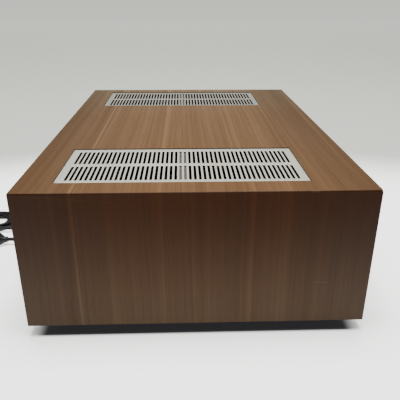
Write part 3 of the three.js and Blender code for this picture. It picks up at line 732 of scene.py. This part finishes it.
def build_plug(finishes):
    """A two-blade plug: a moulded grip that tapers to the lead, with finger ribs, and two brass blades."""
    low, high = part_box("mains_plug")
    x, z = (low.x + high.x) / 2, (low.z + high.z) / 2
    width, height = high.x - low.x, high.z - low.z
    near, face = low.y, high.y - 17 * MM
    grip = rounded_bar("y", [(y, x, z, wide, tall, radius * MM) for y, wide, tall, radius in (
        (near, 7.6 * MM, 7.6 * MM, 3.6),
        (near + 4 * MM, 8.6 * MM, 8.6 * MM, 3.9),
        (near + 8 * MM, width * 0.62, height * 0.74, 4.5),
        (near + 12 * MM, width * 0.90, height * 0.92, 5),
        (near + 17 * MM, width * 0.98, height * 0.98, 5.4),
        (face - 4.6 * MM, width * 0.93, height * 0.94, 5),
        (face - 4.0 * MM, width, height, 5.5),
        (face - 0.6 * MM, width, height, 5.5),
        (face, width - 1.2 * MM, height - 1.2 * MM, 5),
    )])
    ribs = []
    for y in (near + (15.5 + 2.6 * i) * MM for i in range(4)):
        for side in (-1, 1):
            top = z + side * (height / 2 - 0.35 * MM)
            ribs.append(rounded_bar("z", [
                (top - 0.5 * MM, x, y, 12 * MM, 1.3 * MM, 0.6 * MM),
                (top + 0.3 * side * MM + 0.05 * MM, x, y, 11.4 * MM, 0.8 * MM, 0.38 * MM),
            ], 3))
    body = piece("plug_body", gather(grip, *ribs), finishes["vinyl"], replaces=["mains_plug"],
                 slot="mains_lead")
    outline = arc(face + 14 * MM, z, 3.15 * MM, -90, 90, 10)
    outline += [(face - 1 * MM, z + 3.15 * MM), (face - 1 * MM, z - 3.15 * MM)]
    hole = ring(face + 12.5 * MM, z, 1.5 * MM, 16)
    blades = []
    for u in (x - 6.35 * MM, x + 6.35 * MM):
        blades.append(plate("x", u - 0.75 * MM, u + 0.75 * MM, outline, [hole]))
    pair = piece("plug_blades", gather(*blades), finishes["brass"], slot="mains_lead", soften=0.25 * MM)
    return [body, pair]


def build_strain_relief(finishes):
    """A tapered sleeve with a flange at the panel and cut rings, which let a real sleeve bend."""
    low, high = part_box("cord_strain_relief")
    middle = centre("cord_strain_relief")
    profile = past(low.y, (0, 0), (4.6, 0))
    profile += past(SEAT, (4.9, 0), (7.8, 0), (7.9, 0.4), (7.6, 1.9), (6.2, 2.4))
    rings, start = 8, SEAT + 3 * MM
    step = (high.y - start) / rings
    for i in range(rings):
        radius = 6.0 - 2.2 * i / rings
        for cut, along in ((0, 0), (0.1, 0.62), (1.0, 0.70), (1.0, 0.94)):
            profile.append(((radius - cut) * MM, start + step * (i + along)))
    profile += past(high.y, (3.6, -0.2), (3.2, 0), (0, 0))
    return piece("strain_relief_sleeve", turned("y", middle.x, middle.z, profile, 32), finishes["vinyl"],
                 replaces=["cord_strain_relief"], slot="mains_lead")


def build_lead(finishes):
    """The lead is one curve: down from the panel, along behind the sleeve, round the hank, to the plug."""
    route = from_sleeve(LEAD_ROUTE) + hank_route() + from_sleeve(TAIL_ROUTE)
    lead = smooth_curve("mains_lead", route, CORD, finishes["vinyl"])
    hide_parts("mains_cord", "mains_cord_tail", "cord_hank")
    plug = build_plug(finishes)
    relief = build_strain_relief(finishes)
    tie_y = (HANK_NEAR + HANK_FAR) / 2 + 12 * MM
    low, high = 0.3 * MM, ON_FIRST_LAYER + 3.1 * MM
    tie = straight_bar("y", tie_y - 3 * MM, tie_y + 3 * MM, HANK_X, (low + high) / 2,
                       2 * HANK_OUTER + 1.4 * MM, high - low, 3.4 * MM, steps=6)
    band = piece("lead_tie", tie, finishes["black"], slot="mains_lead", soften=0.3 * MM)


# -------- wooden sleeve
EDGE = 1.5 * MM
WORN_DEPTH = 1.5 * MM
HAIRLINE = 0.06 * MM
SAME = 1e-6
GRILLES = ["vent_grille_left", "vent_grille_right"]
GRILLE_CUT = Vector((108, 250, 0)) * MM
LEDGE = 8 * MM


def extruded_section(points):
    """A section in the XZ plane as one long body from the front of the sleeve to the back."""
    bm = bmesh.new()
    section = bm.faces.new([bm.verts.new((x, SLEEVE_LOW.y, z)) for x, z in points])
    draw_faces(bm, [section], (0, SLEEVE_HIGH.y - SLEEVE_LOW.y, 0))
    return bm


def soften_ends(bm):
    """Rounds the edges of the front and back ends, but leaves the mitres tight."""
    ends = (SLEEVE_LOW.y, SLEEVE_HIGH.y)
    bevel_edges(bm, [e for e in bm.edges if e.is_manifold
                     and any(all(abs(v.co.y - y) < SAME for v in e.verts) for y in ends)], 0.5 * MM)


def split(bm, place, facing, clear=False):
    """Cuts a mesh with a plane, and with clear removes what lies beyond it."""
    bmesh.ops.bisect_plane(bm, geom=bm.verts[:] + bm.edges[:] + bm.faces[:], dist=1e-7,
                           plane_co=place, plane_no=facing, clear_outer=clear)


def cut_out(bm, middle):
    """Opens a rebated rectangle through the top board, with a ledge for the grille."""
    x, y = middle.x, middle.y
    sizes = (GRILLE_CUT, GRILLE_CUT - Vector((2 * LEDGE, 2 * LEDGE, 0)))
    for size in sizes:
        for axis, place, half in ((X_AXIS, x, size.x / 2), (Y_AXIS, y, size.y / 2)):
            for side in (-1, 1):
                split(bm, axis * (place + side * half), axis)
    rims = []
    for size, level in zip(sizes, (TOP, UNDER_TOP)):
        inside = [f for f in bm.faces if all(abs(v.co.z - level) < SAME for v in f.verts)
                  and abs(f.calc_center_median().x - x) < size.x / 2
                  and abs(f.calc_center_median().y - y) < size.y / 2]
        bmesh.ops.delete(bm, geom=inside, context="FACES")
        rims.append([e for e in bm.edges if e.is_boundary and abs(e.verts[0].co.z - level) < SAME])
    edges = rims[0]
    rebate = 2.6 * MM
    for across, along, drop in (
        (1, 1, -rebate),
        (sizes[1].x / sizes[0].x, sizes[1].y / sizes[0].y, 0),
        (1, 1, rebate - BOARD),
    ):
        grown = draw_edges(bm, edges, (0, 0, drop))
        edges = edges_of(grown)
        bmesh.ops.scale(bm, verts=verts_of(grown), vec=(across, along, 1),
                        space=Matrix.Translation((-x, -y, 0)))
    bmesh.ops.remove_doubles(bm, verts=bm.verts[:], dist=2e-6)


def paint_shade_in_cut_out(bm, middle):
    """Gives the walls and the ledge of a cut-out the second material, black enamel as painted shade for the
    dark seen through the grille.
    """
    reach = GRILLE_CUT / 2 + Vector((1, 1, 0)) * HAIRLINE
    for face in bm.faces:
        spot = face.calc_center_median()
        if abs(spot.x - middle.x) < reach.x and abs(spot.y - middle.y) < reach.y and spot.z < TOP - HAIRLINE:
            face.material_index = 1


def knock_corner(bm):
    """Cuts the near left corner of a board off at a slant, where it has been knocked."""
    for steep in (0.7, 1.0, 1.5):
        facing = Vector((-1, -1, steep)).normalized()
        split(bm, Vector((SLEEVE_LOW.x, SLEEVE_LOW.y, TOP)) - facing * WORN_DEPTH, facing, clear=True)
        bmesh.ops.holes_fill(bm, edges=[e for e in bm.edges if e.is_boundary], sides=0)


def build_side(name, outer, side, finishes):
    """One side board: mitred at the top, and black on its inner face as painted shade for the inside of the
    cabinet.
    """
    corner, inner = outer - side * EDGE, outer - side * BOARD
    bend = [(corner + side * (u - corner), v) for u, v in arc(corner, TOP - EDGE, EDGE, 0, 45, 3)]
    low = SLEEVE_LOW.z
    board = extruded_section([(outer, low), *bend, (inner, UNDER_TOP - HAIRLINE), (inner, low)])
    soften_ends(board)
    if name == "left":
        knock_corner(board)
    # The inner face is black: painted shade for the inside seen through the grille slots.
    for face in board.faces:
        if abs(face.calc_center_median().x - inner) < HAIRLINE:
            face.material_index = 1
    piece(f"walnut_side_{name}", board, finishes["walnut"], finishes["black_steel"],
          replaces=[f"cabinet_side_{name}"], slot="walnut_veneer", crease=40)


def build_top(finishes):
    """The top board: mitred at both ends, with a rebated opening for each grille."""
    left, right = SLEEVE_LOW.x, SLEEVE_HIGH.x
    bend = arc(right - EDGE, TOP - EDGE, EDGE, 90, 45, 3)
    mirrored = [(left + right - u, v) for u, v in reversed(bend)]
    mitre = BOARD + HAIRLINE
    section = [*bend, (right - mitre, UNDER_TOP), (left + mitre, UNDER_TOP), *mirrored]
    board = extruded_section([(u - math.copysign(HAIRLINE, u), v) for u, v in section])
    soften_ends(board)
    knock_corner(board)
    for node in GRILLES:
        cut_out(board, centre(node))
        # Black painted shade on the walls and the ledge of the opening.
        paint_shade_in_cut_out(board, centre(node))
    bmesh.ops.recalc_face_normals(board, faces=board.faces[:])
    piece("walnut_top", board, finishes["walnut"], finishes["black_steel"], replaces=["cabinet_top"],
          slot="walnut_veneer", crease=40)


# -------- grilles
SLOTS, PITCH, SLOT_WIDTH, SLOT_LENGTH, ROW_GAP = 48, 4.9 * MM, 2.6 * MM, 41.5 * MM, 7.5 * MM


def slot_cell(bm, x, y, z):
    """One slot with a flat border that meets its neighbours' borders."""
    half, radius = (SLOT_LENGTH - SLOT_WIDTH) / 2, SLOT_WIDTH / 2
    inner = arc(x + half, y, radius, -90, 90, 6) + arc(x - half, y, radius, 90, 270, 6)
    side = (SLOT_LENGTH + ROW_GAP) / 2
    outer = [(x + math.copysign(side, u - x), y + (v - y) / radius * PITCH / 2) for u, v in inner]
    loops = [closed_loop(bm, [(u, v, z) for u, v in points]) for points in (inner, outer)]
    bmesh.ops.bridge_loops(bm, edges=loops[0] + loops[1])


def grow_border(bm, axis, middle, half, reach):
    """Draws the two outer edges that face along an axis out from half to reach."""
    for side in (-1, 1):
        edge = middle[axis] + side * half
        rim = [e for e in bm.edges if e.is_boundary and all(abs(v.co[axis] - edge) < SAME for v in e.verts)]
        draw_edges(bm, rim, (X_AXIS, Y_AXIS)[axis] * side * (reach - half))


def build_grille(name, finishes):
    """A plate with two rows of slots whose rims are rounded and whose walls are dark with painted shade."""
    low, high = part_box(name)
    middle = (low + high) / 2
    bm = bmesh.new()
    for i in range(SLOTS):
        y = middle.y + (i - (SLOTS - 1) / 2) * PITCH
        for row in (-1, 1):
            slot_cell(bm, middle.x + row * (SLOT_LENGTH + ROW_GAP) / 2, y, high.z)
    bmesh.ops.remove_doubles(bm, verts=bm.verts[:], dist=1e-6)
    grow_border(bm, 0, middle, SLOT_LENGTH + ROW_GAP, high.x - middle.x)
    grow_border(bm, 1, middle, SLOTS * PITCH / 2, high.y - middle.y)
    bmesh.ops.recalc_face_normals(bm, faces=bm.faces[:])
    if bm.faces[0].normal.z < 0:
        bmesh.ops.reverse_faces(bm, faces=bm.faces[:])
    draw_faces(bm, bm.faces[:], (0, 0, low.z - high.z))
    bevel_edges(bm, [e for e in bm.edges if e.is_manifold and e.calc_face_angle() > 1
                     and all(abs(v.co.z - high.z) < SAME for v in e.verts)], 0.16 * MM)
    # The slot walls take the second material, a dark painted shade.
    for face in bm.faces:
        spot = face.calc_center_median()
        within = all(abs(spot[i] - middle[i]) < (high[i] - low[i]) / 2 - MM for i in (0, 1))
        if within and face.normal.z < 0.5:
            face.material_index = 1
    piece(f"slotted_{name}", bm, finishes["grille"], finishes["slot_wall"], replaces=[name],
          slot="satin_aluminium", crease=50)


# -------- screws
def cross_screw(x, y, z, axis, facing, radius=3 * MM, height=1.8 * MM):
    """A pan head screw with a cross recess, seated at its place on an axis and facing along it."""
    u, v, w = {"y": (x, z, y), "z": (x, y, z)}[axis]
    bm = bmesh.new()
    arm, wide = radius * 0.52, radius * 0.13
    cross = [(arm, wide), (wide, wide), (wide, arm), (-wide, arm), (-wide, wide), (-arm, wide),
             (-arm, -wide), (-wide, -wide), (-wide, -arm), (wide, -arm), (wide, -wide), (arm, -wide)]
    top = w + facing * height
    rim, recess = [closed_loop(bm, [at(axis, u + a, v + b, top) for a, b in points])
                   for points in (ring(0, 0, radius * 0.62, 24), cross)]
    bmesh.ops.triangle_fill(bm, use_beauty=True, use_dissolve=False, edges=rim + recess)
    down = Vector(at(axis, 0, 0, -facing * height))
    bmesh.ops.contextual_create(bm, geom=edges_of(draw_edges(bm, recess, down * 0.6)))
    for grow, drop in ((1.30, 0.14), (1.16, 0.34), (1.07, 0.52)):
        grown = draw_edges(bm, rim, down * drop)
        rim = edges_of(grown)
        bmesh.ops.scale(bm, verts=verts_of(grown), vec=Vector(at(axis, grow, grow, 1)),
                        space=Matrix.Translation(-Vector(at(axis, u, v, 0))))
    bmesh.ops.contextual_create(bm, geom=rim)
    bmesh.ops.recalc_face_normals(bm, faces=bm.faces[:])
    return bm


# -------- front
KNOBS = ["bass_knob", "midrange_knob", "treble_knob", "volume_knob", "input_selector_knob",
         "speaker_selector_knob", "balance_knob"]
LEVERS = ["power_lever", "low_filter_lever", "high_filter_lever", "loudness_lever", "tape_monitor_lever",
          "mode_lever"]
POWER_LEVER_Z, LEVER_ROW_Z = 100 * MM, 46 * MM
LEVER_PLACES = {name: (centre(name).x, LEVER_ROW_Z) for name in LEVERS}
LEVER_PLACES["power_lever"] = (centre("power_lever").x, POWER_LEVER_Z)
# The first dial mark in degrees from the top and how many there are, 30 degrees apart.
DIAL_MARKS = {"input_selector_knob": (-60, 5), "speaker_selector_knob": (-30, 4)}
ALL_ROUND = (-150, 11)
DIVIDING_LINE_Z = 70 * MM


def build_face_plate(finishes):
    low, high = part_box("face_plate")
    holes = [hole_at(name, 4.2, 24) for name in KNOBS]
    holes += [rounded(*LEVER_PLACES[name], 4.8 * MM, 9 * MM, 1.6 * MM, 4) for name in LEVERS]
    holes += [hole_at("headphone_jack", 5.7, 32), hole_at("pilot_lamp", 3.5, 24)]
    face = plate("y", low.y, high.y, outline_of("face_plate", 0.8 * MM, 3), holes)
    piece("aluminium_face_plate", face, finishes["face"], replaces=["face_plate"], slot="satin_aluminium",
          soften=0.35 * MM)


def printed_stroke(x, z, angle, inner, outer):
    """A mark between two distances from (x, z), at an angle from straight up."""
    along = Vector((math.sin(angle), 0, math.cos(angle)))
    across = Vector((math.cos(angle), 0, -math.sin(angle))) * 0.3 * MM
    hub = Vector((x, 0, z))
    corners = [hub + along * inner - across, hub + along * inner + across,
               hub + along * outer + across, hub + along * outer - across]
    return printed([(c.x, c.z) for c in corners])


def printed(outline):
    return plate("y", FACE_FRONT - 0.06 * MM, FACE_FRONT + 0.2 * MM, outline)


def build_panel_marks(finishes):
    """Printed tick marks round the rotary controls and beside the levers, and a line between the two rows."""
    marks = []
    for name in KNOBS:
        hub, (low, high) = centre(name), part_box(name)
        inner = (high.x - low.x) / 2 + 2.2 * MM
        first, count = DIAL_MARKS.get(name, ALL_ROUND)
        for degrees in range(first, first + 30 * count, 30):
            length = (2.8 if degrees in (-150, 0, 150) else 1.6) * MM
            marks.append(printed_stroke(hub.x, hub.z, math.radians(degrees), inner, inner + length))
    for x, z in LEVER_PLACES.values():
        for side in (-1, 1):
            marks.append(printed_stroke(x, z + side * 10 * MM, 0, -1 * MM, 1 * MM))
    marks.append(printed(rectangle(centre("face_plate").x, DIVIDING_LINE_Z, 452 * MM, 0.5 * MM)))
    piece("panel_marks", gather(*marks), finishes["ink"], slot="satin_aluminium")


def build_knob(name, finishes):
    """A fluted aluminium knob: a bright chamfer, a shallow dished face and a black pointer line."""
    low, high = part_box(name)
    hub = centre(name)
    radius = (high.x - low.x) / 2
    front, back = low.y, FACE_FRONT - 1 * MM
    flutes = 60 if radius > 20 * MM else 44 if radius > 15 * MM else 32
    chamfer, groove, skirt = 1.4 * MM, 0.55 * MM, back - 2.6 * MM
    grip_front = front + chamfer + 1.2 * MM
    fluted = toothed(hub, radius, flutes * 6, lambda i: groove * max(0.0, math.cos(FULL_TURN * i / 6)) ** 2)
    grip = plate("y", grip_front, skirt, fluted)
    core = turned("y", hub.x, hub.z, [
        (0, front + 0.5 * MM), (radius * 0.80, front + 0.5 * MM), (radius * 0.86, front + 0.08 * MM),
        (radius * 0.88, front), (radius - 1.5 * MM, front), (radius - 0.15 * MM, front + chamfer),
        (radius - 0.1 * MM, grip_front + 0.2 * MM), (radius - 1.2 * MM, grip_front + 0.4 * MM),
        (radius - 1.2 * MM, skirt - 0.2 * MM), (radius - 0.1 * MM, skirt), (radius, skirt + 0.4 * MM),
        (radius, back - 0.3 * MM), (radius - 0.3 * MM, back), (4 * MM, back), (3 * MM, back + 0.3 * MM),
        (3 * MM, high.y), (0, high.y),
    ], 96)
    piece(f"fluted_{name}", gather(grip, core), spun_metal(f"spun_{name}", hub), body=name, replaces=[name],
          slot="satin_aluminium", crease=32)
    pointer = straight_bar("y", front - 0.03 * MM, front + 0.7 * MM, hub.x, hub.z + radius * 0.66,
                           1.3 * MM, radius * 0.52, 0.5 * MM)
    piece(f"pointer_{name}", pointer, finishes["ink"], body=name, slot="satin_aluminium")


def build_levers(finishes):
    rims = []
    for name, (x, z) in LEVER_PLACES.items():
        piece(f"bat_{name}", copy_of(name), finishes["lever"], body=name, replaces=[name],
              slot="satin_aluminium", soften=0.7 * MM, segments=3)
        rims.append(plate("y", FACE_FRONT - 0.8 * MM, FACE_FRONT - 0.02 * MM,
                          rounded(x, z, 10 * MM, 15 * MM, 3 * MM, 5),
                          [rounded(x, z, 5.6 * MM, 10 * MM, 1.8 * MM, 4)]))
    piece("lever_escutcheons", gather(*rims), finishes["black"], slot="satin_aluminium", soften=0.25 * MM)


def build_headphone_jack(finishes):
    low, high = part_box("headphone_jack")
    hub = centre("headphone_jack")
    profile = past(low.y, (0, 17.7), (3.2, 17.7), (3.2, 0.5), (3.6, 0), (4.8, 0), (5.0, 0.7), (6.9, 0.9),
                   (7.4, 1.3), (7.4, 2.3), (5.2, 2.4)) + past(high.y, (5.2, 0), (0, 0))
    piece("headphone_socket", turned("y", hub.x, hub.z, profile, 64), finishes["nickel"],
          replaces=["headphone_jack"], slot="nickel_plate", crease=30)


def build_pilot_lamp(finishes):
    low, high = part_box("pilot_lamp")
    hub = centre("pilot_lamp")
    dome = arc(0, low.y + 3 * MM, 3 * MM, -78, 0, 6)
    lens = turned("y", hub.x, hub.z, [(0, low.y), *dome, (3 * MM, high.y), (0, high.y)], 32)
    piece("lamp_lens", lens, finishes["amber"], replaces=["pilot_lamp"], slot="amber_lens")
    bezel = past(FACE_FRONT, (3.2, -0.02), (4.8, -0.02), (4.6, -0.6), (3.9, -1.1), (3.2, -1.0), (3.2, -0.02))
    piece("lamp_bezel", turned("y", hub.x, hub.z, bezel, 40), finishes["nickel"], slot="nickel_plate")


# -------- rear
def build_rear_panel(finishes):
    low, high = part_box("rear_panel")
    holes = [hole_at("fuse_cap", 5.6, 32), hole_at("ground_terminal_nut", 2.5, 32),
             hole_at("cord_strain_relief", 5.6, 32)]
    panel = plate("y", low.y, high.y, outline_of("rear_panel", 0.8 * MM, 3), holes)
    piece("black_rear_panel", panel, finishes["black_steel"], replaces=["rear_panel"],
          slot="black_painted_steel", soften=0.3 * MM)
    screws = [cross_screw(x * MM, REAR_FACE, z * MM, "y", 1) for x in (-225, -75, 75, 225) for z in (24, 134)]
    frames = []
    for name in ("input_jack_board", "tape_jack_board", "outlet_block", "speaker_terminal_block"):
        low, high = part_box(name)
        middle = centre(name)
        for x in (low.x - 5 * MM, high.x + 5 * MM):
            screws.append(cross_screw(x, REAR_FACE, middle.z, "y", 1, 2.4 * MM, 1.4 * MM))
        width, height = high.x - low.x + 18 * MM, high.z - low.z + 5 * MM
        inside = rounded(middle.x, middle.z, width - 0.9 * MM, height - 0.9 * MM, 2.1 * MM, 4)
        frames.append(plate("y", REAR_FACE - 0.1 * MM, REAR_FACE + 0.05 * MM,
                            rounded(middle.x, middle.z, width, height, 2.5 * MM, 4), [inside]))
    piece("rear_screws", gather(*screws), finishes["screw"], slot="zinc_plated_steel")
    piece("rear_panel_lines", gather(*frames), finishes["paint_line"], slot="black_painted_steel")


def phono_socket(x, z, face, tip):
    """The plated shell of one phono socket: a seat ring, a barrel with a rolled lip, and its rim."""
    lip = past(tip, (2.9, -0.3), (3.1, 0), (3.9, 0), (4.15, -0.3))
    seat = past(face, (4.15, 1.8), (5.6, 1.6), (5.9, 1.2), (5.9, 0), (2.9, 0))
    return turned("y", x, z, [*lip, *seat, lip[0]], 28)


def phono_core(x, z, face, tip):
    """The coloured insulator in a phono socket, with the hole for the pin."""
    well = past(face, (2.85, 0), (0, 0), (0, 1.5), (1.6, 1.5))
    return turned("y", x, z, [well[-1], *past(tip, (1.6, -0.6), (1.8, -0.4), (2.85, -0.4)), *well], 20)


def build_jacks(node, columns, finishes):
    """A board of phono sockets in two rows, white over red."""
    low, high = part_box(node)
    middle = centre(node)
    face = low.y + 2.5 * MM
    piece(f"backing_{node}", plate("y", low.y, face, outline_of(node, 2 * MM, 4)), finishes["black"],
          replaces=[node], slot="black_plastic", soften=0.3 * MM)
    shells, cores = [], {1: [], -1: []}
    for column in range(columns):
        for row in (-1, 1):
            x = middle.x + (column - (columns - 1) / 2) * 20 * MM
            place = (x, middle.z + row * 9.5 * MM, face + 0.02 * MM, high.y)
            shells.append(phono_socket(*place))
            cores[row].append(phono_core(*place))
    piece(f"shells_{node}", gather(*shells), finishes["nickel"], slot="nickel_plate", crease=30)
    piece(f"left_cores_{node}", gather(*cores[1]), finishes["white"], slot="nickel_plate")
    piece(f"right_cores_{node}", gather(*cores[-1]), finishes["red"], slot="red_plastic")


def build_speaker_terminals(finishes):
    """A housing with a pocket and a wire hole for each of eight keys, and the keys."""
    low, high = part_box("speaker_terminal_block")
    middle = (low + high) / 2
    pocket_floor = high.y - 8 * MM
    outline = outline_of("speaker_terminal_block", 2 * MM, 4)
    holes = []
    for row in (-1, 1):
        for column in (-1.5, -0.5, 0.5, 1.5):
            x, z = middle.x + column * 24 * MM, middle.z + row * 14.5 * MM
            holes += [rectangle(x, z + 4 * MM, 9 * MM, 10 * MM), ring(x, z - 6 * MM, 1.6 * MM, 20)]
    block = gather(plate("y", low.y, pocket_floor, outline), plate("y", pocket_floor, high.y, outline, holes))
    piece("terminal_housing", block, finishes["black"], replaces=["speaker_terminal_block"],
          slot="black_plastic", soften=0.4 * MM)
    for row in ("upper", "lower"):
        for column in range(1, 5):
            name = f"{row}_terminal_lever_{column}"
            colour = "red" if column % 2 else "black"
            piece(f"key_{name}", copy_of(name), finishes[colour], body=name, replaces=[name],
                  slot=f"{colour}_plastic", soften=0.5 * MM, segments=3)


def build_outlets(finishes):
    """Three outlets in one moulding, each a raised oval with two blade slots."""
    low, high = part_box("outlet_block")
    middle = (low + high) / 2
    floor = high.y - 1.5 * MM
    base = plate("y", low.y, floor, outline_of("outlet_block", 3 * MM, 5))
    ovals, wells = [], []
    for x in (middle.x + i * 36 * MM for i in (-1, 0, 1)):
        slots = [rectangle(x + side * 6.35 * MM, middle.z, 2 * MM, 8 * MM) for side in (-1, 1)]
        ovals.append(plate("y", floor, high.y, rounded(x, middle.z, 31 * MM, 26 * MM, 10 * MM, 8), slots))
        wells += [plate("y", floor + 0.04 * MM, floor + 0.10 * MM, slot) for slot in slots]
    piece("outlet_moulding", gather(base, *ovals), finishes["black"], replaces=["outlet_block"],
          slot="black_plastic", soften=0.35 * MM)
    piece("outlet_contacts", gather(*wells), finishes["brass"], slot="black_plastic")


def build_fuse_cap(finishes):
    low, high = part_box("fuse_cap")
    hub = centre("fuse_cap")
    ribs = toothed(hub, 7 * MM, 144, lambda i: 0.45 * MM * (i % 6 < 2))
    grip = plate("y", SEAT + 3 * MM, high.y - 1.2 * MM, ribs)
    profile = (past(low.y, (0, 0), (5, 0)) + past(SEAT, (5, 0), (6.9, 0), (6.9, 3), (6, 3.4))
               + past(high.y, (6, -1.4), (6.8, -1.2), (6.2, -0.3), (5.4, -0.05), (0, -0.05)))
    piece("ribbed_fuse_cap", gather(grip, turned("y", hub.x, hub.z, profile, 48)), finishes["black"],
          body="fuse_cap", replaces=["fuse_cap"], slot="black_plastic")
    notch = straight_bar("y", high.y - 0.6 * MM, high.y - 0.01 * MM, hub.x, hub.z, 9 * MM, 1.4 * MM, 0.5 * MM)
    piece("fuse_cap_notch", notch, finishes["ink"], body="fuse_cap", slot="black_plastic")


def build_ground_nut(finishes):
    low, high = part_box("ground_terminal_nut")
    hub = centre("ground_terminal_nut")
    knurl = toothed(hub, 5 * MM, 120, lambda i: 0.3 * MM * (i % 4 == 0))
    grip = plate("y", SEAT + 3.2 * MM, high.y - 1 * MM, knurl)
    profile = (past(low.y, (0, 0), (2, 0)) + past(SEAT, (2, 1), (4.6, 1), (4.6, 3.2), (4.3, 3.4))
               + past(high.y, (4.3, -1), (4.8, -0.9), (4.2, -0.2), (1.9, -0.1), (1.9, 0), (0, 0)))
    piece("knurled_ground_nut", gather(grip, turned("y", hub.x, hub.z, profile, 40)), finishes["nickel"],
          body="ground_terminal_nut", replaces=["ground_terminal_nut"], slot="nickel_plate")


# -------- underside
def build_bottom(finishes):
    low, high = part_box("bottom_cover")
    vents = [rounded(centre(grille).x, centre(grille).y + i * 20 * MM, 44 * MM, 3.5 * MM, 1.7 * MM, 5)
             for grille in GRILLES for i in range(-5, 6)]
    cover = plate("z", low.z, high.z, outline_of("bottom_cover", 2 * MM, 4, v=1), vents)
    piece("steel_bottom_cover", cover, finishes["black_steel"], replaces=["bottom_cover"],
          slot="black_painted_steel", soften=0.2 * MM)
    places = [(x, y) for x in (-226, -75, 75, 226) for y in (-160, 160)] + [(-226, 0), (226, 0)]
    screws = [cross_screw(x * MM, MIDDLE_Y + y * MM, FLOOR_UNDER, "z", -1) for x, y in places]
    for node in [f"foot_{end}_{side}" for side in ("left", "right") for end in ("front", "back")]:
        hub, high = centre(node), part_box(node)[1]
        profile = (past(0, (0, 4), (4, 4), (4, 0.6), (4.6, 0.02), (10.2, 0.02), (11.2, 1.0))
                   + past(high.z, (12.6, -1.4), (12.9, -0.8), (12.4, 0), (0, 0)))
        piece(f"rubber_{node}", turned("z", hub.x, hub.y, profile, 48), finishes["rubber"], replaces=[node],
              slot="foot_rubber", crease=40)
        screws.append(cross_screw(hub.x, hub.y, 3.98 * MM, "z", -1, 3.2 * MM, 1.6 * MM))
    piece("underside_screws", gather(*screws), finishes["screw"], slot="zinc_plated_steel")


# -------- what stays as it is in the frame
def dress_inner_nodes(finishes):
    dressed = {
        "zinc": ["front_chassis_panel", "chassis_rail_left", "chassis_rail_right", "control_bracket"],
        "fins": ["heat_sink_left", "heat_sink_right"],
        "board": ["power_amplifier_board_left", "power_amplifier_board_right", "preamplifier_board"],
        "black_steel": ["power_transformer"],
        "sleeve_blue": ["filter_capacitor_front", "filter_capacitor_back"],
        "bar": ["grille_stiffener_left", "grille_stiffener_right"],
    }
    for finish, nodes in dressed.items():
        for node in nodes:
            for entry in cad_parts[node].material_slots:
                entry.material = finishes[finish].material


# -------- stage
def build_floor():
    bm = bmesh.new()
    bmesh.ops.create_grid(bm, x_segments=1, y_segments=1, size=90)
    floor = mesh_object("floor", bm, table_top())


def build_light():
    """One large soft light overhead, which faces down, and a dim room."""
    world = bpy.data.worlds.new("studio")
    world.use_nodes = True
    room = world.node_tree.nodes["Background"].inputs
    room["Color"].default_value = (0.86, 0.87, 0.82, 1)
    room["Strength"].default_value = 0.16
    bpy.context.scene.world = world
    lamp = bpy.data.lights.new("overhead", "AREA")
    lamp.size = 1.6
    lamp.energy = 215
    add_object("overhead", lamp).location = (0, 0, 3)


def build():
    add_camera()
    finishes = build_materials()
    build_lead(finishes)
    build_side("left", SLEEVE_LOW.x, -1, finishes)
    build_side("right", SLEEVE_HIGH.x, 1, finishes)
    build_top(finishes)
    for name in GRILLES:
        build_grille(name, finishes)
    build_face_plate(finishes)
    build_panel_marks(finishes)
    for name in KNOBS:
        build_knob(name, finishes)
    build_levers(finishes)
    build_headphone_jack(finishes)
    build_pilot_lamp(finishes)
    build_rear_panel(finishes)
    build_jacks("input_jack_board", 6, finishes)
    build_jacks("tape_jack_board", 5, finishes)
    build_speaker_terminals(finishes)
    build_outlets(finishes)
    build_fuse_cap(finishes)
    build_ground_nut(finishes)
    build_bottom(finishes)
    dress_inner_nodes(finishes)
    build_floor()
    build_light()


build()
